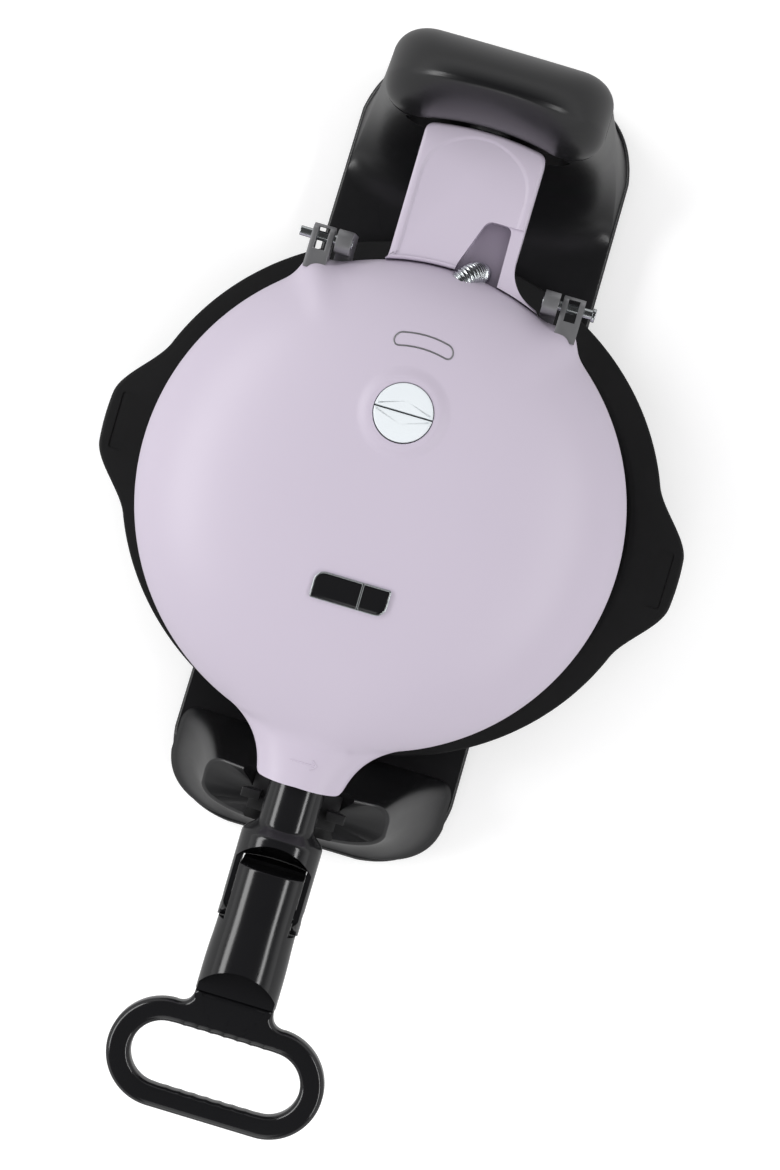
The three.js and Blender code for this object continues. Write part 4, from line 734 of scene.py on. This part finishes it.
def capSlice(x):
    arch = cap["arch"] * max(0, 1 - (x / cap["archHalf"]) ** 2)
    front = cap["frontSeat"] + arch + cap["frontTurn"] * turnedShare(x, cap["frontStraight"])
    rear = cap["rearSeat"] - cap["rearTurn"] * turnedShare(x, cap["rearStraight"])
    crest = cap["crest"] - cap["crestSwing"] * (x / cap["halfWidth"]) ** 2
    rise = cap["height"] * math.sqrt(1 - abs(x / cap["halfWidth"]) ** cap["crownPower"])

    def arc(start, angle):
        turn = np.linspace(0.02, 1, 44) * angle * np.pi
        along = mixed(start, crest, (1 - np.cos(turn)) / (1 - math.cos(angle * np.pi)))
        return np.stack([along, rise * np.sin(turn) / math.sin(angle * np.pi)], -1)

    up, down = arc(front, cap["frontAngle"]), arc(rear, cap["rearAngle"])[::-1]
    # the crest is rounded by a quadratic curve between two points a short way down both arcs
    skip = 2
    rounded = quadratic(np.linspace(0, 1, 9)[:, None], up[-1 - skip], up[-1], down[skip])
    edge = cap["edge"]
    path = np.vstack([[(front + edge, 0)], [(front, edge)], up[:-1 - skip], rounded, down[skip + 1:],
                      [(rear, edge)], [(rear - edge, 0)]])
    path[:, 1] = np.maximum(path[:, 1], 0)
    return np.column_stack([np.full(len(path), x), path[:, 0], path[:, 1] + cap["seat"]])


across = np.sin(np.linspace(-1, 1, 121) * np.pi / 2) * cap["endWidth"]
capPiece = meshObject("cap", [ringBody([capSlice(x) for x in across])], False)
finishPiece(capPiece, "gloss_black", "stand", ["tower_cap"], finish="satin_black")
print("cap made")

# Drip tray: a shallow dish with a wide flat rim, and an ear on each side with a bare sunk mark
tray = {"halfWidth": 130.7, "halfLength": 123.5, "earReach": 144, "earInner": 12, "earOuter": 43,
        "rimWidth": 13, "rimTop": 34, "rimThickness": 2.5, "wall": 2.2, "floorInset": 22, "floorEnd": 60,
        "bottom": 16.3, "slant": 3.3,
        "markX": 134.5, "markHalf": (4, 14), "markCorner": 1.5, "markDepth": 0.5}


def trayRing(inset, height, eared=0.0):
    turn = np.linspace(0, 2 * np.pi, 480, endpoint=False)
    across = (tray["halfWidth"] - inset) * np.cos(turn)
    along = (tray["halfLength"] - inset) * np.sin(turn)
    ear = 1 - smoothStep(tray["earInner"], tray["earOuter"], abs(along))
    across = across + np.sign(across) * (tray["earReach"] - tray["halfWidth"]) * ear * eared
    return atHeight(np.stack([across, along], -1), height)


def trayProfile():
    top, wide, wall, bottom = tray["rimTop"], tray["rimWidth"], tray["wall"], tray["bottom"]
    under, floor, flank = top - tray["rimThickness"], bottom + wall, wide + tray["slant"]
    # inset, height and share of the ear along the dish's section, from under the floor, round the rim, inside
    corners = [(tray["floorEnd"], bottom, 0), (tray["floorInset"], bottom, 0), (flank, floor, 0),
               (wide, under, 0), (0, under, 1), (0, top, 1), (wide, top, 0), (wide + wall, under, 0),
               (flank + wall, floor + wall, 0), (tray["floorInset"] + wall, floor, 0),
               (tray["floorEnd"], floor, 0)]
    return roundedPath(corners, [1.5, 1, 0.8, 1, 1, 1.2, 0.8, 1.5, 1.5], 5)


trayPiece = meshObject("tray", [ringBody([trayRing(*row) for row in trayProfile()])], False)
markOutline = roundedRectangle(*tray["markHalf"], tray["markCorner"])
marks = [prism(markOutline + [side * tray["markX"], 0], tray["rimTop"] - tray["markDepth"],
               tray["rimTop"] + beyond) for side in (-1, 1)]
combine(trayPiece, "DIFFERENCE", marks, False)
finishPiece(trayPiece, "tray_black", "tray", ["drip_tray"])
print("tray made")

# Front trunnion, collar, stem and loop of the handle
collar = {"trunnion": 13, "radius": 18.9, "bore": 16.7, "front": 129.9, "trunnionEnd": 150.5,
          "coneEnd": 155.5, "boreStart": 156.2, "end": 196.8, "topEnd": 168, "bottomEnd": 169, "strap": 7,
          "cheek": 8, "cheekInner": 15.2, "cheekFrom": 201, "mouth": 20.6, "mouthY": -178.8, "overlap": 0.3}
foldPin = {"y": -188.8, "radius": 3, "halfLength": 18.6, "play": 0.3}
pinCentre = (0, foldPin["y"], 0)
pinHole = bar("x", foldPin["radius"] + foldPin["play"], -25, 25, pinCentre, 48)
far = 30  # past the outside of the collar and the stem
profile = [(0.5, -collar["front"]), (collar["trunnion"], -collar["front"]),
           (collar["trunnion"], -collar["trunnionEnd"]), (collar["radius"], -collar["coneEnd"]),
           (collar["radius"], -collar["end"]), (0.5, -collar["end"])]
collarPiece = meshObject("collar", [turned("y", profile, [0.5, 2, 2, 0.4], sides=160)])
# inside, a round bore, then two flat cheeks
start, overlap = -collar["bottomEnd"], collar["overlap"]
room = np.array([(-1, -1), (1, -1), (1, 1), (-1, 1)]) * [collar["cheekInner"], 26]
combine(collarPiece, "DIFFERENCE", [bar("y", collar["bore"], start, -collar["boreStart"]),
                                    prism(room, -collar["cheekFrom"], start + overlap, "y")])
strapAngle = math.asin(collar["strap"] / collar["cheek"])
turn = np.linspace(strapAngle, 2 * np.pi - strapAngle, 60)
sideShape = np.vstack([
    [(-120, -far), (-120, far), (-collar["topEnd"], far), (-collar["topEnd"], collar["strap"])],
    collar["cheek"] * np.stack([np.cos(turn), np.sin(turn)], -1) + [foldPin["y"], 0],
    [(start, -collar["strap"]), (start, -far)]])
combine(collarPiece, "INTERSECT", [prism(sideShape, -25, 25, "x")])
# the mouth, the half of the trunnion that belongs to the lower shell, and the pin's hole
combine(collarPiece, "DIFFERENCE", [
    bar("z", collar["mouth"], collar["strap"], far, (0, collar["mouthY"], 0)),
    prism([(-24, -far), (24, -far), (24, 0.2), (-24, 0.2)], -collar["trunnionEnd"] - overlap, -120, "y"),
    pinHole])
finishPiece(collarPiece, "gloss_black", "lid", ["handle_collar"])
foldBar = rod("x", foldPin["radius"], -foldPin["halfLength"], foldPin["halfLength"], [0.5, 0.5], pinCentre)
addPiece("fold_pin_bar", [foldBar], "bright_steel", "lid", ["fold_pin"])

stem = {"radius": 18.8, "tongue": 18, "flat": 14.9, "tip": 170.4, "shoulder": 197.1, "swellFrom": 200,
        "swellTo": 214, "end": 232, "scoop": 20.4, "scoopY": -238, "scoopFloor": 5.5, "lip": 17.4,
        "lipStart": 168.78}
body = [(0.2, -stem["tip"]), (stem["tongue"], -stem["tip"]), (stem["tongue"], -stem["swellFrom"]),
        (stem["radius"], -stem["swellTo"]), (stem["radius"], -stem["end"]), (0.2, -stem["end"])]
stemPiece = meshObject("stem", [turned("y", body, [1.2, 8, 8, 0.5], sides=160)])
# flat between the cheeks, drilled for the pin and scooped out towards the loop
for low, high in ((-24, -stem["flat"]), (stem["flat"], 24)):
    flank = [(low, -25), (high, -25), (high, 25), (low, 25)]
    combine(stemPiece, "DIFFERENCE", [prism(flank, -stem["shoulder"], -160, "y")])
combine(stemPiece, "DIFFERENCE", [pinHole])
combine(stemPiece, "DIFFERENCE", [bar("z", stem["scoop"], low, high, (0, stem["scoopY"], 0), 160)
                                  for low, high in ((stem["scoopFloor"], far), (-far, -stem["scoopFloor"]))])
# a lip on the tongue's tip closes the view through the joint to what is below
lipTurn = np.linspace(np.pi, 2 * np.pi, 40)
lipX = np.clip(stem["lip"] * np.cos(lipTurn), 0.3 - stem["flat"], stem["flat"] - 0.3)
lipShape = np.stack([lipX, np.minimum(stem["lip"] * np.sin(lipTurn), -1)], -1)
combine(stemPiece, "UNION", [prism(lipShape, -stem["lipStart"], -stem["tip"] - 2, "y")])
finishPiece(stemPiece, "gloss_black", "handle", ["handle_stem"])

loop = {"halfWidth": 50.6, "rear": 240, "front": 290.4, "thickness": 11, "edge": 3.2, "crown": 0.12,
        "slotHalfWidth": 39.6, "slotHalfHeight": 14.7, "slotY": -265.1, "neckHalf": 18.4, "flareHalf": 25,
        "columns": 600}


def loopOutline():
    # Two half circles joined by straight lines; towards the stem the line runs out into the neck.
    radius, rear, neck = (loop["front"] - loop["rear"]) / 2, -loop["rear"], -loop["neckHalf"]
    middle, reach = -(loop["front"] + loop["rear"]) / 2, loop["halfWidth"] - radius
    t = np.linspace(0, 1, 60)[:, None]
    turn = np.linspace(np.pi / 2, 1.5 * np.pi, 90)
    left = np.vstack([
        quadratic(t, (neck, -stem["end"] - 0.3), (neck, rear), (-loop["flareHalf"], rear - 0.1)),
        np.stack([-reach + radius * np.cos(turn), middle + radius * np.sin(turn)], -1)])
    closed = np.vstack([left, left[::-1] * np.array([-1, 1]), left[:1]])
    return spaced(closed, loop["columns"], endpoint=False)[0]


def loopBody():
    # Rings up over the outer edge, across and down into the slot, then the same underneath.
    outer = loopOutline()
    centre = np.array([0, loop["slotY"]])
    angle = np.arctan2(outer[:, 1] - centre[1], outer[:, 0])
    slotHalf = loop["slotHalfHeight"]
    slot = subdivided(roundedRectangle(loop["slotHalfWidth"], slotHalf, slotHalf - 0.01, 90), 8)
    reach = np.interp(angle, np.arctan2(slot[:, 1], slot[:, 0]), np.hypot(*slot.T), period=2 * np.pi)
    inner = centre + np.stack([reach * np.cos(angle), reach * np.sin(angle)], -1)
    half, edge = loop["thickness"] / 2, loop["edge"]
    rounding = roundedEdge(edge, 8)
    rings = [atHeight(insetOutline(outer, inset), half - drop) for inset, drop in rounding]
    rings += [atHeight(mixed(insetOutline(outer, edge), insetOutline(inner, -edge), share),
                       half + loop["crown"] * math.sin(math.pi * share)) for share in (0.25, 0.5, 0.75)]
    rings += [atHeight(insetOutline(inner, -inset), half - drop) for inset, drop in rounding[::-1]]
    return ringBody(rings + [ring * np.array([1, 1, -1]) for ring in rings[::-1]], loop=True)


addPiece("grip_loop", [loopBody()], "gloss_black", "handle", ["handle_loop"])
print("handle made")

# Conduit: a ribbed hose from the arm into the lid
conduit = {
    "radius": 5.2, "rib": 0.5, "pitch": 1.1, "sides": 40, "stations": 560, "lean": (1, 1, 0),
    "route": [(13.4, 112.2, -17.9), (13.4, 112.2, -7.5), (13.2, 112.1, -2), (12, 111.4, 5), (9.2, 109.2, 9),
              (6.2, 104.8, 10), (5.4, 98.6, 10)],
    "bendFrom": (12.6, 111.8, 2.0), "bendTo": (6.2, 104.8, 10.0),
}


def conduitBody():
    # A circle carried along a smooth route; its radius swings once for each rib.
    route = np.array(conduit["route"], float)
    knots = np.concatenate([[0], np.cumsum(np.linalg.norm(np.diff(route, axis=0), axis=1) ** 0.5)])
    fine = np.linspace(0, knots[-1], 1200)
    centre = np.stack([flowing(knots, values, fine) for values in route.T], -1)
    centre, along = spaced(centre, conduit["stations"])
    tangent = np.gradient(centre, axis=0)
    tangent /= np.linalg.norm(tangent, axis=1, keepdims=True)
    first = np.cross(np.array(conduit["lean"], float), tangent)
    first /= np.linalg.norm(first, axis=1, keepdims=True)
    second = np.cross(tangent, first)
    turn = np.linspace(0, 2 * np.pi, conduit["sides"], endpoint=False)
    swing = 0.5 + 0.5 * np.cos(2 * np.pi * along[:, None] / conduit["pitch"] - turn)
    radius = conduit["radius"] - conduit["rib"] * swing ** 2
    return ringBody(centre[:, None] + first[:, None] * (radius * np.cos(turn))[..., None]
                    + second[:, None] * (radius * np.sin(turn))[..., None])


hose = meshObject("conduit_hose", [conduitBody()])
finishPiece(hose, "bright_steel", "hinge_pins", ["wiring_conduit"])
print("conduit made")

# Castings and small metal: the frame's own solids, merged, with their edges broken
softened = {
    "hinge_knuckle_left": 0.5, "hinge_knuckle_right": 0.5, "hinge_bracket_left": 0.5,
    "hinge_bracket_right": 0.5, "front_saddle": 0.4, "lower_trunnion": 0.3, "bottom_cover": 0.3,
    "cord_gland": 0.3, "pivot_nut": 0.3,
}


def softenedCopy(name, width):
    copy = newObject(name + "_soft", frame["nodes"][name].data.copy())
    weld = copy.modifiers.new("weld", "WELD")
    weld.merge_threshold = 1e-6
    bevel = copy.modifiers.new("bevel", "BEVEL")
    bevel.width = width / 1000
    bevel.segments = 3
    bevel.limit_method = "ANGLE"
    bevel.angle_limit = math.radians(sharpAngle)
    applyModifiers(copy)
    body = next(key for key, members in frame["record"]["behaviour"]["bodies"].items() if name in members)
    finishPiece(copy, slotOf[name], body, [name])


for nodeName, width in softened.items():
    softenedCopy(nodeName, width)
hinge = {"y": 108, "rise": 10, "radius": 2.2, "inner": 43.7, "end": 68, "head": 3.1, "headLength": 1.6}
hingeCentre = (0, hinge["y"], hinge["rise"])
thick, head, start, end = hinge["radius"], hinge["head"], hinge["inner"], hinge["end"]
under = end - hinge["headLength"]
headed = [(0.2, start), (thick, start), (thick, under), (head, under), (head, end), (0.2, end)]
headedPin = turned("x", headed, [0.3, 0.1, 0.3, 0.5], hingeCentre, 48)
addPiece("pin_right", [headedPin], "bright_steel", "hinge_pins", ["hinge_pin_right"])
plainPin = rod("x", thick, -start, -end, [0.3, 0.5], hingeCentre)
addPiece("pin_left", [plainPin], "bright_steel", "hinge_pins", ["hinge_pin_left"])

# Rubber feet under the stand
foot = {"radius": 9, "height": 2.7, "x": 47, "y": {"front": -149, "rear": 187.5}}
for row, y in foot["y"].items():
    for side, x in (("left", -foot["x"]), ("right", foot["x"])):
        pad = rod("z", foot["radius"], 0, foot["height"], [0.6, 0.3], (x, y, 0), 64)
        addPiece(f"pad_{row}_{side}", [pad], "foot_rubber", "stand", [f"foot_{row}_{side}"], onAxis=False)
print("small pieces made")

# Cooking plates: a pan with a flange, rows of square pegs and a cross of ridges
plate = {
    "pitch": 24, "base": 17.5, "top": 14.5, "reach": 80, "wellDepth": 14, "pegTop": 4, "ridge": 5,
    "wellRadius": 88.3,
    "pan": [(0.5, -19.5), (94, -19.5), (97, -16), (98, -3.6), (106.8, -3.6), (106.8, -0.6), (94, -0.6),
            (91, -3), (88, -14), (0.5, -14)],
    "rounding": [1.5, 1, 0.6, 0.5, 0.5, 0.8, 1, 2],
}


def plateBodies(side):
    # A turned pan; each peg is a stack of shrinking rounded squares, each ridge one of rounded rectangles.
    bodies = [turnedAbout("z", roundedPath(plate["pan"], plate["rounding"]), sides=240)]
    low, high, top = -plate["wellDepth"] - 0.3, -plate["pegTop"], plate["top"] / 2
    pegLevels = [(plate["base"] / 2, low), (top + 0.1, high - 0.9), (top - 0.25, high - 0.25),
                 (top - 0.9, high)]
    steps = math.ceil(plate["reach"] / plate["pitch"])
    places = (np.arange(-steps, steps) + 0.5) * plate["pitch"]
    for x in places:
        for y in places:
            if math.hypot(x, y) < plate["reach"]:
                bodies.append(np.stack([atHeight(roundedRectangle(half, half, 1.4, 4) + [x, y], height)
                                        for half, height in pegLevels]))
    ridge = (plate["ridge"] / 2, plate["wellRadius"])
    for across, along in (ridge, ridge[::-1]):
        bodies.append(np.stack([atHeight(roundedRectangle(across - inset, along - inset, 0.8, 4), height)
                                for inset, height in ((0, low), (0, high - 0.6), (0.6, high))]))
    return [ringBody(rings * np.array([side, 1, side])) for rings in bodies]


addPiece("plate_below", plateBodies(1), "plate_coating", "lower_body", ["lower_plate"])
addPiece("plate_above", plateBodies(-1), "plate_coating", "lid", ["upper_plate"])
print("plates made")

# The conduit is taken off the pins' body and stays fixed in the frame, on no body
hose.parent = None
del hose["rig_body"]
hose.matrix_world = Matrix.Identity(4)
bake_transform(hose)

# Floor, lights and camera
studio = {"floorSize": 6.0, "floorColour": 0.84, "floorMirrored": 0.2, "floorGlow": 0.3, "worldLight": 0.66,
          "wallEnds": 0.04, "ceilingBegins": 0.5, "ceilingLight": 0.04}
floorMesh = bpy.data.meshes.new("floor")
half = studio["floorSize"] / 2
floorMesh.from_pydata([(-half, -half, 0), (half, -half, 0), (half, half, 0), (-half, half, 0)], [],
                      [(0, 1, 2, 3)])
floor = newObject("floor", floorMesh)


def strongest(tree, first, *others):
    # one where any of these rays looks, nothing elsewhere
    for other in others:
        first = addNode(tree, "Math", {0: first, 1: other}, operation="MAXIMUM").outputs[0]
    return first


floorMaterial = bpy.data.materials.new("floor_white")
floorMaterial.use_nodes = True
tree = floorMaterial.node_tree
shader = tree.nodes["Principled BSDF"]
rays = addNode(tree, "LightPath").outputs
# a mirror sees the floor darker, so that black gloss stays black at its sides
plain, mirrored = ([studio[name]] * 3 for name in ("floorColour", "floorMirrored"))
feed(tree, shader, {"Base Color": twoColours(tree, rays["Is Glossy Ray"], plain, mirrored), "Roughness": 0.9,
                    "Specular IOR Level": 0.1})
# the camera, a mirror and a clear piece see the floor glow, which lights nothing else
seen = strongest(tree, rays["Is Camera Ray"], rays["Is Glossy Ray"], rays["Is Transmission Ray"])
strength = addNode(tree, "Math", {0: seen, 1: studio["floorGlow"]}, operation="MULTIPLY")
glow = addNode(tree, "Emission", {"Strength": strength.outputs[0]})
total = addNode(tree, "AddShader", {0: shader.outputs[0], 1: glow.outputs[0]})
feed(tree, tree.nodes["Material Output"], {"Surface": total.outputs[0]})
floorMesh.materials.append(floorMaterial)

world = bpy.data.worlds.new("studio")
world.use_nodes = True
bpy.context.scene.world = world
tree = world.node_tree
rays = addNode(tree, "LightPath").outputs
# a mirror sees the room white towards the walls and dim straight up, so that black gloss stays black
direction = addNode(tree, "SeparateXYZ", {0: addNode(tree, "TexCoord").outputs["Generated"]})
ceiling = addNode(tree, "MapRange", {
    "Value": direction.outputs["Z"], "From Min": studio["wallEnds"], "From Max": studio["ceilingBegins"],
    "To Min": 1.0, "To Max": studio["ceilingLight"]}, interpolation_type="SMOOTHSTEP")
# sockets 2 and 3 of a number mix are its numbers
lit = addNode(tree, "Mix", {"Factor": rays["Is Glossy Ray"], 2: studio["worldLight"],
                            3: ceiling.outputs["Result"]}, data_type="FLOAT")
seen = strongest(tree, rays["Is Camera Ray"], rays["Is Transmission Ray"])
shown = addNode(tree, "Mix", {"Factor": seen, 2: lit.outputs[0], 3: 1.0}, data_type="FLOAT")
feed(tree, tree.nodes["Background"], {"Color": (1, 1, 1, 1), "Strength": shown.outputs[0]})

middle = Vector((0, 0.03, 0.12))
lamps = {
    # degrees from straight up towards +X and towards +Y as seen from the object, metres away, size, power
    "strip_left": {"tilt": -57, "lean": 6, "distance": 1.8, "size": (2.2, 0.5), "power": 23},
    "strip_right": {"tilt": 51, "lean": -4, "distance": 1.8, "size": (2.2, 0.26), "power": 14},
    "fill_front": {"tilt": 5, "lean": -62, "distance": 1.9, "size": (0.5, 1.6), "power": 3},
}
for name, settings in lamps.items():
    light = bpy.data.lights.new(name, "AREA")
    light.shape = "RECTANGLE"
    light.size, light.size_y = settings["size"]
    light.energy = settings["power"]
    carrier = newObject(name, light)
    tilt, lean = math.radians(settings["tilt"]), math.radians(settings["lean"])
    away = Vector((math.tan(tilt), math.tan(lean), 1)).normalized()
    carrier.location = middle + away * settings["distance"]
    carrier.rotation_euler = away.to_track_quat("Z", "Y").to_euler()

view = {"place": (0.0514, 0.0954, 1.5), "look": (-83.2, -202.6, -3047), "up": (-0.282, 0.959, 0),
        "lens": 93.75, "clipStart": 0.05}
camera = newObject("camera", bpy.data.cameras.new("camera"))
camera.data.lens = view["lens"]
camera.data.clip_start = view["clipStart"]
look = Vector(view["look"]).normalized()
right = look.cross(Vector(view["up"])).normalized()
up = right.cross(look)
turnMatrix = Matrix((right, up, -look)).transposed()
camera.matrix_world = Matrix.Translation(view["place"]) @ turnMatrix.to_4x4()
bpy.context.scene.camera = camera
bpy.context.scene.view_settings.view_transform = "Standard"
print("studio made")

bpy.context.view_layer.update()
